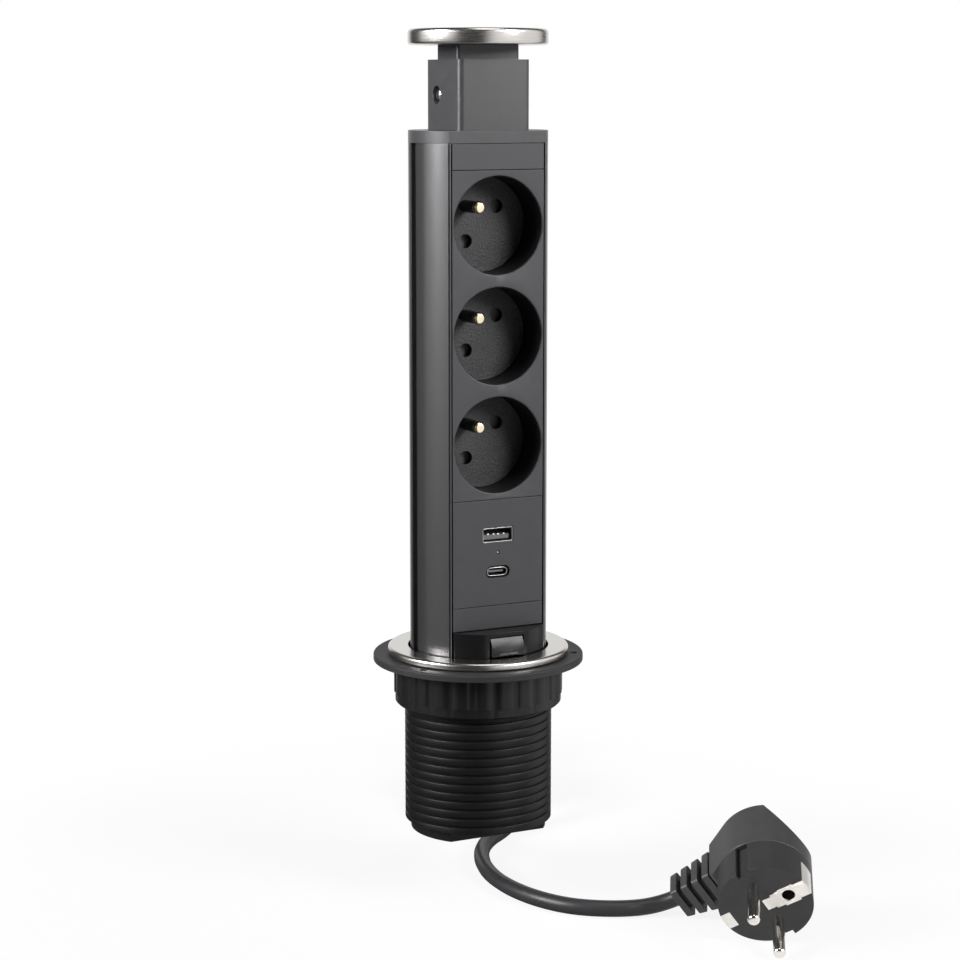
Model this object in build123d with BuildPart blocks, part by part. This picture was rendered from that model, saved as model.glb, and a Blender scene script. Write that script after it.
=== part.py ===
"""Pop up desk socket: a column with three earthed outlets and two chargers that slides up out of a worktop.

All lengths are in millimetres. +Z is up, -Y is the front with the outlets, and the origin is on the column's
axis at the underside of the trim ring, where it rests on the worktop.
"""

from build123d import *
from math import acos, asin, atan2, cos, dist, pi, radians, sin, sqrt, tan
import os

os.makedirs("parts", exist_ok=True)

# Clearances that all pieces share
slide_gap = 0.35  # between two pieces that slide past each other
seam_gap = 0.15  # between two fixed pieces side by side
pin_gap = 0.06  # radial, a hinge pin in its hole

# Collar: the trim ring over the worktop and the threaded tube through it
ring_radius = 36.6
ring_hole_radius = 28.4
ring_thickness = 3.0
ring_round = 1.3
ring_under_edge = 0.45
collar_radius = 33.8
collar_thickness = 1.4
thread_radius = 29.85
tube_depth = 68.6

# Clamp: the flange with its screw holes and the nut below it, run up against the ring
flange_reach = 12.65
flange_thickness = 2.7
flange_edge = 0.4
flange_hole_radius = 1.5
flange_hole_circle = 38.65
flange_hole_count = 3
nut_radius = 34.2
nut_height = 17.2
nut_edge = 0.8
nut_step = 0.5
nut_step_height = 4.2
flute_count = 24
flute_depth = 0.6
flute_radius = 4.2
clamp_gap = 0.3

# Column: an extrusion with a flat open front, closed by panels
column_radius = 27.5
face_depth = 18.0
wall = 2.5
lip = 0.5
channel_half = 6.8
channel_depth = 0.7
slot_place = 2.1
slot_half = 2.5
slot_depth = 2.6
edge_groove_width = 0.4
edge_groove_depth = 1.0
cap_thickness = 4.8
plug_depth = 3.0
foot_top = 12.9
lower_blank_height = 9.45
usb_height = 42.8
outlet_pitch = 43.07
outlet_count = 3
top_blank_height = 10.15
panel_seam = 0.25
panel_thickness = 2.6
rail_thickness = 0.85
panel_gap = 0.5
hook_reach = 0.95
hook_thickness = 1.3
hook_depth = 4.7

# Outlets: round recesses with a contact insert turned by an eighth of a turn
recess_radius = 19.15
recess_depth = 15.5
recess_wall = 0.6
recess_round = 0.5
floor_thickness = 3.0
cup_tail = 2.0
outlet_turn = 45.0
pin_spacing = 19.0
pin_hole_radius = 2.7
contact_radius = 2.45
contact_wall = 0.45
contact_length = 10.5
earth_pin_radius = 2.4
earth_pin_offset = 10.0
earth_pin_length = 14.0
earth_pin_dome = 1.2
earth_pin_root_radius = 2.0
insert_radius = 18.2
insert_depth = 14.4
shutter_thickness = 1.6
shutter_width = 6.6
shutter_end = 3.4
shutter_travel = 6.0
bar_thickness = 0.8
bar_width = 5.0
bar_step = 1.6
neutral_bar_place = 12.6

# Chargers: metal shells through the panel, on a board in a box behind it
usb_depth = 12.0
usb_shell_wall = 0.4
usb_a_rise = 28.4
usb_a_width = 13.2
usb_a_height = 5.8
usb_a_tongue_width = 11.2
usb_a_tongue_height = 1.8
usb_c_rise = 13.5
usb_c_width = 9.0
usb_c_height = 3.4
usb_c_mouth = 0.75
usb_c_tongue_width = 6.6
usb_c_tongue_height = 0.8
tongue_set_back = 1.4
led_rise = 21.3
led_radius = 0.6
usb_box_width = 32.0
usb_box_depth = 17.0
usb_box_wall = 1.5
board_thickness = 1.6

# Foot: fills the flat front out to the full circle, where the column runs in the tube, and holds the latch
foot_length = 58.0
bezel_half = 9.0
latch_half = 7.0
latch_toe = 5.0
latch_bottom = 3.5
latch_top_face = 25.6
latch_toe_face = 28.4
latch_chamfer = 0.9
latch_gap = 0.4
latch_swing = 1.3
latch_axis_depth = 23.7
latch_axis_rise = 9.5
latch_barrel = 1.2
latch_pin_radius = 0.75
latch_pin_grip = 2.5
latch_pocket_back = 19.4
latch_spring_radius = 1.3
latch_spring_wire = 0.2
latch_spring_turns = 4
latch_spring_pitch = 0.6
notch_half = 2.0

# Head: the block on the cap, and the lid that is pressed into it
head_width = 30.8
head_depth = 30.3
head_height = 27.2
head_corner = 2.2
head_floor = 2.0
neck_width = 26.8
neck_depth = 18.9
neck_corner = 1.2
neck_exposed = 5.6
neck_guide = 4.0
lid_travel = 5.2
stem_width = 12.0
stem_depth = 17.0
disc_radius = 27.5
disc_thickness = 6.2
disc_round = 1.6
disc_under_round = 0.7
disc_seat = 2.5
disc_seat_radius = 8.0
guide_screw_offset = 5.45
guide_screw_radius = 1.5
guide_head_radius = 2.4
guide_head_height = 1.9
guide_head_dome = 0.9
guide_bore_radius = 3.6
guide_bore_depth = 2.6
guide_groove_depth = 2.0
lid_spring_radius = 3.1
lid_spring_wire = 0.35
lid_spring_turns = 6
lid_spring_bore = 4.0
head_screw_radius = 1.5
head_screw_head = 2.8
head_screw_spread = 23.6
head_screw_length = 9.0
head_screw_head_height = 1.6

# Bottom: the cap with the cable outlet at its back, dipping below the level
bottom_thickness = 4.6
outlet_dip = 20.0
outlet_start = -2.0
outlet_end = 20.0
outlet_end_drop = 5.3
outlet_swing = 20.0  # degrees, the way that the cable outlet points, turned from straight back
outlet_radius = 5.6
relief_length = 22.0
relief_root_radius = 4.8
relief_tip_radius = 3.9
relief_grip_radius = 3.9
relief_grip_length = 9.0
clamp_bar_length = 15.0
clamp_bar_width = 7.0
clamp_bar_height = 4.0
clamp_bar_edge = 0.8
clamp_screw_radius = 1.25
clamp_screw_place = 5.7
terminal_width = 22.0
terminal_depth = 12.0
terminal_height = 16.0
inner_lead_top = 40.0

# Mains lead: a stretch to a tied hank behind the column, and a tail from it to the plug at the right
cord_radius = 3.3
bend_share = 0.45
floor_drop = 100.0
lay_gap = 0.1
lay_turn = 26.0  # degrees, the way that the lead is laid out, turned from the column's own front
hank_place = (2.0, 164.8)
hank_half_run = 35.5
hank_radius = 19.8
hank_waist = 3.9
hank_step = 7.2
hank_layer = 7.2
cord_end = 6.6
gap_reach = 30.0
gap_point_count = 1200
tie_thickness = 0.6
tie_width = 6.0
tie_gap = 0.3
tie_round = 3.6
lead_bend_point = (-26.8, 98.0)
tail_first_run = 24.7
tail_floor_points = (
    (15.5, 72.5),
    (1.0, 45.0),
    (2.0, 12.5),
    (13.5, -14.5),
    (33.0, -33.5),
    (54.0, -38.0),
)

# Plug: an angled plug with two pins, side clips and a hole for an earth pin
plug_radius = 18.3
plug_face_depth = 16.0
plug_hood_depth = 38.0
plug_hood_low = 24.0
plug_hood_peak = 9.0
plug_exit = 19.0
plug_exit_half = 10.5
plug_exit_near = 18.0
plug_exit_far = 36.0
plug_edge = 1.6
plug_guide_half = 2.5
plug_guide_depth = 2.2
plug_pin_radius = 2.4
plug_pin_length = 19.0
plug_pin_dome = 1.4
plug_relief_length = 20.0
plug_relief_root = (19.0, 15.0)
plug_relief_tip = (14.0, 11.5)
plug_pin_root = 8.0
plug_pin_root_radius = 2.0
clip_half = 3.6
clip_thickness = 0.8
clip_inner = 5.5
clip_reach = 14.0
clip_side = 11.0
earth_hole_radius = 2.5
earth_sleeve_wall = 0.5
earth_sleeve_depth = 12.0
plug_place = (110.0, -72.0)
plug_rise = 17.3
plug_turn = 5.0
plug_dip = 22.0
plug_roll = 58.0

# Levels worked out from the sizes above
blank_bottom = foot_top
usb_bottom = blank_bottom + lower_blank_height
outlet_bottom = usb_bottom + usb_height
top_blank_bottom = outlet_bottom + outlet_count * outlet_pitch
cap_bottom = top_blank_bottom + top_blank_height
cap_top = cap_bottom + cap_thickness
head_top = cap_top + head_height
lid_bottom = head_top + neck_exposed
profile_bottom = -tube_depth + slide_gap
bottom_face = profile_bottom - bottom_thickness
front_corner = sqrt(column_radius**2 - face_depth**2)
opening_half = front_corner - lip
panel_half = opening_half - panel_gap
inner_radius = column_radius - wall
floor_face = -face_depth + recess_depth
flange_radius = thread_radius + flange_reach
flange_top = -clamp_gap
nut_top = flange_top - flange_thickness - clamp_gap
rail_depth = hook_depth + seam_gap + hook_thickness
insert_back = floor_face + floor_thickness + insert_depth
latch_top = latch_axis_rise + latch_barrel
latch_back = latch_axis_depth - latch_barrel
bezel_face = sqrt(column_radius**2 - bezel_half**2)
stem_bottom = cap_top + head_floor + lid_travel + slide_gap
guide_screw_rise = cap_top + head_height / 2
cord_level = -floor_drop + cord_radius + lay_gap
cord_section = pi * cord_radius**2
clip_seat = plug_radius - clip_thickness
clip_spans = ((clip_inner, plug_radius), (-clip_reach, -plug_radius))
outlet_levels = [outlet_bottom + outlet_pitch * (i + 1 / 2) for i in range(outlet_count)]


def finish(builder, name):
    """Label a finished piece and write it out."""
    builder.part.label = name
    export_step(builder.part, f"parts/{name}.step")


def round_with_flat(radius, face):
    """A disc with its front cut off flat, for the section of the column."""
    Circle(radius)
    with Locations((0, -face - radius)):
        Rectangle(2 * radius, 2 * radius, mode=Mode.SUBTRACT)


def outlet_place(level, depth):
    """The plane of an outlet at a depth behind the front face, turned with the outlet, its normal outward."""
    return Plane(
        origin=(0, -face_depth + depth, level),
        x_dir=(cos(radians(outlet_turn)), 0, sin(radians(outlet_turn))),
        z_dir=(0, -1, 0),
    )


# Trim ring
with BuildPart() as trim_ring:
    with BuildSketch():
        Circle(ring_radius)
        Circle(ring_hole_radius, mode=Mode.SUBTRACT)
    extrude(amount=ring_thickness)
    fillet(trim_ring.edges().group_by(Axis.Z)[-1].sort_by(SortBy.RADIUS)[-1], ring_round)
    chamfer(trim_ring.edges().group_by(Axis.Z)[0].sort_by(SortBy.RADIUS)[-1], ring_under_edge)
    with BuildSketch():
        Circle(collar_radius + seam_gap)
    extrude(amount=collar_thickness + seam_gap, mode=Mode.SUBTRACT)
finish(trim_ring, "trim_ring")

# Threaded tube, whose collar is held under the ring
with BuildPart() as threaded_tube:
    with BuildSketch():
        Circle(collar_radius)
    extrude(amount=collar_thickness)
    with BuildSketch():
        Circle(thread_radius)
    extrude(amount=-tube_depth)
    with BuildSketch(Plane.XY.offset(collar_thickness)):
        Circle(ring_hole_radius)
    extrude(amount=-tube_depth - collar_thickness, mode=Mode.SUBTRACT)
finish(threaded_tube, "threaded_tube")

# Clamp flange
with BuildPart() as clamp_flange:
    with BuildSketch(Plane.XY.offset(flange_top - flange_thickness)):
        Circle(flange_radius)
    extrude(amount=flange_thickness)
    chamfer(clamp_flange.edges().group_by(Axis.Z)[-1], flange_edge)
    with BuildSketch(Plane.XY.offset(flange_top)):
        Circle(thread_radius + slide_gap)
        with PolarLocations(flange_hole_circle, flange_hole_count, start_angle=90):
            Circle(flange_hole_radius)
    extrude(amount=-flange_thickness, mode=Mode.SUBTRACT)
finish(clamp_flange, "clamp_flange")

# Clamp nut with a fluted rim
with BuildPart() as clamp_nut:
    with BuildSketch(Plane.XY.offset(nut_top)):
        Circle(nut_radius)
    extrude(amount=-nut_height)
    with BuildSketch(Plane.XY.offset(nut_top - nut_height)):
        Circle(nut_radius)
        Circle(nut_radius - nut_step, mode=Mode.SUBTRACT)
    extrude(amount=nut_step_height, mode=Mode.SUBTRACT)
    chamfer(clamp_nut.edges().group_by(Axis.Z)[0], nut_edge)
    with BuildSketch(Plane.XY.offset(nut_top)):
        Circle(thread_radius + slide_gap)
        with PolarLocations(nut_radius + flute_radius - flute_depth, flute_count):
            Circle(flute_radius)
    extrude(amount=-nut_height, mode=Mode.SUBTRACT)
finish(clamp_nut, "clamp_nut")


def panel_section():
    """A front panel's section: a plate, with a rail at each side that hooks behind the extrusion's lip."""
    with Locations((0, -face_depth + panel_thickness / 2)):
        Rectangle(2 * panel_half, panel_thickness)
    for side in (1, -1):
        with Locations((side * (panel_half - rail_thickness / 2), -face_depth + rail_depth / 2)):
            Rectangle(rail_thickness, rail_depth)
        hook_middle = panel_half + (hook_reach - rail_thickness) / 2
        with Locations((side * hook_middle, -face_depth + rail_depth - hook_thickness / 2)):
            Rectangle(rail_thickness + hook_reach, hook_thickness)


# Column extrusion, open at the front, with a shallow channel and a slot down each side
with BuildPart() as column_profile:
    with BuildSketch(Plane.XY.offset(profile_bottom)):
        round_with_flat(column_radius, face_depth)
        Circle(inner_radius, mode=Mode.SUBTRACT)
        for side in (1, -1):
            with Locations((side * inner_radius, 0)):
                Rectangle(2 * wall, 2 * channel_half)
        Circle(column_radius, mode=Mode.INTERSECT)
        with Locations((0, -face_depth)):
            Rectangle(2 * opening_half, 2 * hook_depth, mode=Mode.SUBTRACT)
        for side in (1, -1):
            with Locations((side * column_radius, 0)):
                Rectangle(2 * channel_depth, 2 * channel_half, mode=Mode.SUBTRACT)
            with Locations((side * column_radius, slot_place)):
                Rectangle(2 * slot_depth, 2 * slot_half, mode=Mode.SUBTRACT)
            with Locations((side * (front_corner + edge_groove_width / 2), -face_depth)):
                Rectangle(edge_groove_width, 2 * edge_groove_depth, mode=Mode.SUBTRACT)
    extrude(amount=cap_bottom - profile_bottom)
finish(column_profile, "column_profile")

# Plain panels above and below the outlets
for panel_name, panel_bottom, panel_height in (
    ("top_blank_panel", top_blank_bottom, top_blank_height),
    ("lower_blank_panel", blank_bottom, lower_blank_height),
):
    with BuildPart() as blank_panel:
        with BuildSketch(Plane.XY.offset(panel_bottom + panel_seam / 2)):
            panel_section()
        extrude(amount=panel_height - panel_seam)
    finish(blank_panel, panel_name)

# Outlet panel: one moulding with the walls of the three recesses
with BuildPart() as outlet_panel:
    with BuildSketch(Plane.XY.offset(outlet_bottom + panel_seam / 2)):
        panel_section()
    extrude(amount=outlet_count * outlet_pitch - panel_seam)
    with BuildSketch(Plane.XZ.offset(face_depth)):
        with Locations(*[(0, level) for level in outlet_levels]):
            Circle(recess_radius + recess_wall)
    extrude(amount=-recess_depth - cup_tail)
    with BuildSketch(Plane.XZ.offset(face_depth)):
        with Locations(*[(0, level) for level in outlet_levels]):
            Circle(recess_radius)
    extrude(amount=-recess_depth - cup_tail, mode=Mode.SUBTRACT)
    mouths = outlet_panel.edges().filter_by(GeomType.CIRCLE).group_by(Axis.Y)[0]
    fillet(mouths, recess_round)
finish(outlet_panel, "outlet_panel")

# Contact insert, earth pin and shutter of each outlet
hole_places = [(-pin_spacing / 2, 0), (pin_spacing / 2, 0)]
shutter_depth = recess_depth + floor_thickness + slide_gap
for number, level in enumerate(reversed(outlet_levels), 1):
    face = outlet_place(level, recess_depth)
    back = outlet_place(level, recess_depth + floor_thickness)
    with BuildPart() as outlet_insert:
        with BuildSketch(face):
            Circle(recess_radius - seam_gap)
        extrude(amount=-floor_thickness)
        with BuildSketch(outlet_place(level, recess_depth + cup_tail + seam_gap)):
            Circle(recess_radius + recess_wall)
        extrude(amount=-floor_thickness + cup_tail + seam_gap)
        with BuildSketch(back):
            Circle(insert_radius)
        extrude(amount=-insert_depth)
        with BuildSketch(face):
            with Locations(*hole_places):
                Circle(pin_hole_radius)
        extrude(amount=-floor_thickness - slide_gap, mode=Mode.SUBTRACT)
        with BuildSketch(back):
            with Locations((0, -shutter_travel / 2)):
                Rectangle(
                    pin_spacing + 2 * (shutter_end + slide_gap),
                    shutter_width + shutter_travel + 2 * slide_gap,
                )
        extrude(amount=-shutter_thickness - 2 * slide_gap, mode=Mode.SUBTRACT)
        with BuildSketch(back):
            with Locations(*hole_places):
                Circle(contact_radius + contact_wall + seam_gap)
        extrude(amount=-insert_depth, mode=Mode.SUBTRACT)
        with BuildSketch(face):
            with Locations((0, earth_pin_offset)):
                Circle(earth_pin_root_radius)
        extrude(amount=-floor_thickness - insert_depth, mode=Mode.SUBTRACT)
    finish(outlet_insert, f"outlet_insert_{number}")

    with BuildPart() as earth_pin:
        with BuildSketch(outlet_place(level, recess_depth - earth_pin_length)):
            with Locations((0, earth_pin_offset)):
                Circle(earth_pin_radius)
        extrude(amount=-earth_pin_length)
        fillet(earth_pin.edges().group_by(Axis.Y)[0], earth_pin_dome)
        with BuildSketch(face):
            with Locations((0, earth_pin_offset)):
                Circle(earth_pin_root_radius)
        extrude(amount=-floor_thickness - insert_depth - bar_step)
    finish(earth_pin, f"earth_pin_{number}")

    with BuildPart() as shutter:
        with BuildSketch(outlet_place(level, shutter_depth)):
            Rectangle(pin_spacing + 2 * shutter_end, shutter_width)
        extrude(amount=-shutter_thickness)
    finish(shutter, f"shutter_{number}")

# Contact bars behind the inserts: line and neutral with a split sleeve at each hole, and earth over the pins
half_spacing = pin_spacing / 2 * cos(radians(outlet_turn))
earth_side = earth_pin_offset * sin(radians(outlet_turn))
bar_span = (outlet_count - 1) * outlet_pitch + bar_width
middle_level = outlet_levels[outlet_count // 2]
for bar_name, side, bar_place in (("line_bar", 1, half_spacing), ("neutral_bar", -1, -neutral_bar_place)):
    with BuildPart() as contact_bar:
        with BuildSketch(Plane.XZ.offset(-insert_back)):
            with Locations((bar_place, middle_level + side * half_spacing)):
                Rectangle(bar_width, bar_span)
            link_place = (side * half_spacing + bar_place) / 2
            with Locations(*[(link_place, n + side * half_spacing) for n in outlet_levels]):
                Rectangle(abs(side * half_spacing - bar_place) + bar_width, bar_width)
        extrude(amount=-bar_thickness)
        with BuildSketch(Plane.XZ.offset(-insert_back)):
            with Locations(*[(side * half_spacing, n + side * half_spacing) for n in outlet_levels]):
                Circle(contact_radius + contact_wall)
                Circle(contact_radius, mode=Mode.SUBTRACT)
                Rectangle(contact_wall, 2 * (contact_radius + contact_wall), mode=Mode.SUBTRACT)
        extrude(amount=contact_length)
    finish(contact_bar, bar_name)

with BuildPart() as earth_bar:
    with BuildSketch(Plane.XZ.offset(-insert_back - bar_step)):
        with Locations((-earth_side, middle_level + earth_side)):
            Rectangle(bar_width, bar_span)
    extrude(amount=-bar_thickness)
finish(earth_bar, "earth_bar")

# Charger panel
usb_a_level = usb_bottom + usb_a_rise
usb_c_level = usb_bottom + usb_c_rise
led_level = usb_bottom + led_rise
with BuildPart() as usb_panel:
    with BuildSketch(Plane.XY.offset(usb_bottom + panel_seam / 2)):
        panel_section()
    extrude(amount=usb_height - panel_seam)
    with BuildSketch(Plane.XZ.offset(face_depth)):
        with Locations((0, usb_a_level)):
            Rectangle(usb_a_width + 2 * seam_gap, usb_a_height + 2 * seam_gap)
        with Locations((0, usb_c_level)):
            SlotOverall(usb_c_width + 2 * usb_c_mouth, usb_c_height + 2 * usb_c_mouth)
        with Locations((0, led_level)):
            Circle(led_radius + seam_gap)
    extrude(amount=-panel_thickness, mode=Mode.SUBTRACT)
finish(usb_panel, "usb_panel")

with BuildPart() as usb_a_shell:
    with BuildSketch(Plane.XZ.offset(face_depth)):
        with Locations((0, usb_a_level)):
            Rectangle(usb_a_width, usb_a_height)
            Rectangle(usb_a_width - 2 * usb_shell_wall, usb_a_height - 2 * usb_shell_wall, mode=Mode.SUBTRACT)
    extrude(amount=-usb_depth)
finish(usb_a_shell, "usb_a_shell")

with BuildPart() as usb_c_shell:
    with BuildSketch(Plane.XZ.offset(face_depth - usb_c_mouth)):
        with Locations((0, usb_c_level)):
            SlotOverall(usb_c_width, usb_c_height)
            SlotOverall(
                usb_c_width - 2 * usb_shell_wall, usb_c_height - 2 * usb_shell_wall, mode=Mode.SUBTRACT
            )
    extrude(amount=-usb_depth + usb_c_mouth)
finish(usb_c_shell, "usb_c_shell")

# Contact tongues, each on its insulator at the back of the shell
for tongue_name, level, width, height, offset, mouth, opening in (
    ("usb_a_tongue", usb_a_level, usb_a_tongue_width, usb_a_tongue_height, usb_a_height / 6, 0, usb_a_height),
    ("usb_c_tongue", usb_c_level, usb_c_tongue_width, usb_c_tongue_height, 0, usb_c_mouth, usb_c_height),
):
    with BuildPart() as tongue:
        with BuildSketch(Plane.XZ.offset(face_depth - mouth - tongue_set_back)):
            with Locations((0, level + offset)):
                Rectangle(width, height)
        extrude(amount=-usb_depth + mouth + tongue_set_back)
        with BuildSketch(Plane.XZ.offset(face_depth - usb_depth + tongue_set_back)):
            with Locations((0, level)):
                Rectangle(width, opening - 2 * usb_shell_wall - 2 * seam_gap)
        extrude(amount=-tongue_set_back)
    finish(tongue, tongue_name)

with BuildPart() as status_led:
    with BuildSketch(Plane.XZ.offset(face_depth)):
        with Locations((0, led_level)):
            Circle(led_radius)
    extrude(amount=-usb_depth)
finish(status_led, "status_led")

board_height = usb_height - 2 * (panel_seam + usb_box_wall + seam_gap)
usb_middle = usb_bottom + usb_height / 2
with BuildPart() as usb_board:
    with BuildSketch(Plane.XZ.offset(face_depth - usb_depth)):
        with Locations((0, usb_middle)):
            Rectangle(usb_box_width - 2 * (usb_box_wall + seam_gap), board_height)
    extrude(amount=-board_thickness)
finish(usb_board, "usb_board")

with BuildPart() as usb_box:
    with BuildSketch(Plane.XZ.offset(face_depth - panel_thickness - seam_gap)):
        with Locations((0, usb_middle)):
            Rectangle(usb_box_width, board_height + 2 * (usb_box_wall + seam_gap))
    extrude(amount=-usb_box_depth)
    with BuildSketch(Plane.XZ.offset(face_depth - panel_thickness - seam_gap)):
        with Locations((0, usb_middle)):
            Rectangle(usb_box_width - 2 * usb_box_wall, board_height + 2 * seam_gap)
    extrude(amount=-usb_box_depth + usb_box_wall, mode=Mode.SUBTRACT)
finish(usb_box, "usb_box")

# Foot: the lowest front panel, with a segment that makes the column round and a pocket for the latch
with BuildPart() as front_foot:
    with BuildSketch(Plane.XY.offset(profile_bottom)):
        panel_section()
    extrude(amount=foot_top - panel_seam / 2 - profile_bottom)
    with BuildSketch(Plane.XY.offset(foot_top - panel_seam / 2)):
        Circle(column_radius)
        with Locations((0, -(bezel_face + face_depth) / 2)):
            Rectangle(2 * panel_half, bezel_face - face_depth, mode=Mode.INTERSECT)
    extrude(amount=-foot_length)
    with BuildSketch(Plane.YZ):
        with Locations((-bezel_face, (latch_top + latch_gap + latch_bottom - latch_swing) / 2)):
            Rectangle(
                2 * (bezel_face - latch_pocket_back), latch_top + latch_gap - latch_bottom + latch_swing
            )
    extrude(amount=latch_half + latch_gap, both=True, mode=Mode.SUBTRACT)
    with BuildSketch(Plane.YZ):
        with Locations((-latch_axis_depth, latch_axis_rise)):
            Circle(latch_pin_radius)
    extrude(amount=latch_half + latch_gap + latch_pin_grip, both=True, mode=Mode.SUBTRACT)
finish(front_foot, "front_foot")

# Latch button: hangs on its pin, with a sloped face that stands out towards the ring at its toe
with BuildPart() as latch_button:
    with BuildSketch(Plane.YZ):
        with BuildLine():
            Polyline(
                (-latch_axis_depth, latch_top),
                (-latch_top_face, latch_top),
                (-latch_toe_face, latch_toe),
                (-latch_toe_face + latch_chamfer, latch_bottom),
                (-latch_back, latch_bottom),
                (-latch_back, latch_axis_rise),
            )
            ThreePointArc(
                (-latch_back, latch_axis_rise),
                (
                    -latch_axis_depth + latch_barrel * cos(radians(45)),
                    latch_axis_rise + latch_barrel * sin(radians(45)),
                ),
                (-latch_axis_depth, latch_top),
            )
        make_face()
    extrude(amount=latch_half, both=True)
    with BuildSketch(Plane.XY.offset(latch_bottom)):
        Circle(ring_hole_radius - slide_gap)
    extrude(amount=latch_top - latch_bottom, mode=Mode.INTERSECT)
    with BuildSketch(Plane.YZ):
        with Locations((-latch_axis_depth, latch_axis_rise)):
            Circle(latch_pin_radius + pin_gap)
    extrude(amount=latch_half, both=True, mode=Mode.SUBTRACT)
    with BuildSketch(Plane.YZ):
        with Locations((-latch_axis_depth, latch_axis_rise)):
            Circle(latch_spring_radius + latch_spring_wire + pin_gap)
        with Locations((-latch_axis_depth + latch_barrel, latch_axis_rise)):
            Rectangle(2 * latch_barrel, 2 * (latch_spring_radius + latch_spring_wire + pin_gap))
    extrude(amount=notch_half, both=True, mode=Mode.SUBTRACT)
finish(latch_button, "latch_button")

with BuildPart() as latch_pin:
    with BuildSketch(Plane.YZ):
        with Locations((-latch_axis_depth, latch_axis_rise)):
            Circle(latch_pin_radius)
    extrude(amount=latch_half + latch_gap + latch_pin_grip, both=True)
finish(latch_pin, "latch_pin")

# Latch spring: a coil round the middle of the pin
with BuildPart() as latch_spring:
    with BuildLine() as latch_coil:
        Helix(
            latch_spring_pitch,
            latch_spring_pitch * latch_spring_turns,
            latch_spring_radius,
            center=(-latch_spring_pitch * latch_spring_turns / 2, -latch_axis_depth, latch_axis_rise),
            direction=(1, 0, 0),
        )
    with BuildSketch(Plane(origin=latch_coil.line @ 0, z_dir=latch_coil.line % 0)):
        Circle(latch_spring_wire)
    sweep()
finish(latch_spring, "latch_spring")

# Top cap, plugged into the extrusion
plug_width = 2 * (inner_radius - wall - seam_gap)
plug_length = 2 * (face_depth - rail_depth - seam_gap)
head_screw_places = [(-head_screw_spread / 2, 0), (head_screw_spread / 2, 0)]
with BuildPart() as top_cap:
    with BuildSketch(Plane.XY.offset(cap_bottom)):
        round_with_flat(column_radius, face_depth)
    extrude(amount=cap_thickness)
    with BuildSketch(Plane.XY.offset(cap_bottom)):
        Circle(inner_radius - seam_gap)
        Rectangle(plug_width, plug_length, mode=Mode.INTERSECT)
    extrude(amount=-plug_depth)
    with BuildSketch(Plane.XY.offset(cap_bottom - plug_depth)):
        with Locations(*head_screw_places):
            Circle(head_screw_radius)
    extrude(amount=plug_depth + cap_thickness, mode=Mode.SUBTRACT)
finish(top_cap, "top_cap")

# Head: guides the neck and the stem of the lid
with BuildPart() as head_housing:
    with BuildSketch(Plane.XY.offset(cap_top)):
        RectangleRounded(head_width, head_depth, head_corner)
    extrude(amount=head_height)
    with BuildSketch(Plane.XY.offset(head_top)):
        RectangleRounded(neck_width + 2 * slide_gap, neck_depth + 2 * slide_gap, neck_corner + slide_gap)
    extrude(amount=-neck_guide - lid_travel - slide_gap, mode=Mode.SUBTRACT)
    with BuildSketch(Plane.XY.offset(cap_top + head_floor)):
        RectangleRounded(stem_width + 2 * slide_gap, stem_depth + 2 * slide_gap, neck_corner + slide_gap)
    extrude(amount=head_height, mode=Mode.SUBTRACT)
    with BuildSketch(Plane.XY.offset(cap_top)):
        with Locations(*head_screw_places):
            Circle(head_screw_radius)
    extrude(amount=head_screw_length, mode=Mode.SUBTRACT)
    with BuildSketch(Plane.YZ.offset(-head_width / 2)):
        with Locations((guide_screw_offset, guide_screw_rise)):
            Circle(guide_bore_radius)
    extrude(amount=guide_bore_depth, mode=Mode.SUBTRACT)
    with BuildSketch(Plane.YZ.offset(-head_width / 2)):
        with Locations((guide_screw_offset, guide_screw_rise)):
            Circle(guide_screw_radius)
    extrude(amount=head_width / 2, mode=Mode.SUBTRACT)
finish(head_housing, "head_housing")

# Screws from inside the column up into the head
with BuildPart() as head_screws:
    with BuildSketch(Plane.XY.offset(cap_bottom - plug_depth)):
        with Locations(*head_screw_places):
            Circle(head_screw_head)
    extrude(amount=-head_screw_head_height)
    with BuildSketch(Plane.XY.offset(cap_bottom - plug_depth)):
        with Locations(*head_screw_places):
            Circle(head_screw_radius)
    extrude(amount=plug_depth + cap_thickness + head_screw_length)
finish(head_screws, "head_screws")

# Guide screw: its tip runs in a groove of the stem and holds the lid
groove_floor = stem_width / 2 - guide_groove_depth
with BuildPart() as guide_screw:
    with BuildSketch(Plane.YZ.offset(-head_width / 2 + guide_bore_depth)):
        with Locations((guide_screw_offset, guide_screw_rise)):
            Circle(guide_head_radius)
    extrude(amount=-guide_head_height)
    fillet(guide_screw.edges().group_by(Axis.X)[0], guide_head_dome)
    with BuildSketch(Plane.YZ.offset(-head_width / 2 + guide_bore_depth)):
        with Locations((guide_screw_offset, guide_screw_rise)):
            Circle(guide_screw_radius)
    extrude(amount=head_width / 2 - guide_bore_depth - groove_floor - slide_gap)
finish(guide_screw, "guide_screw")

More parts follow.
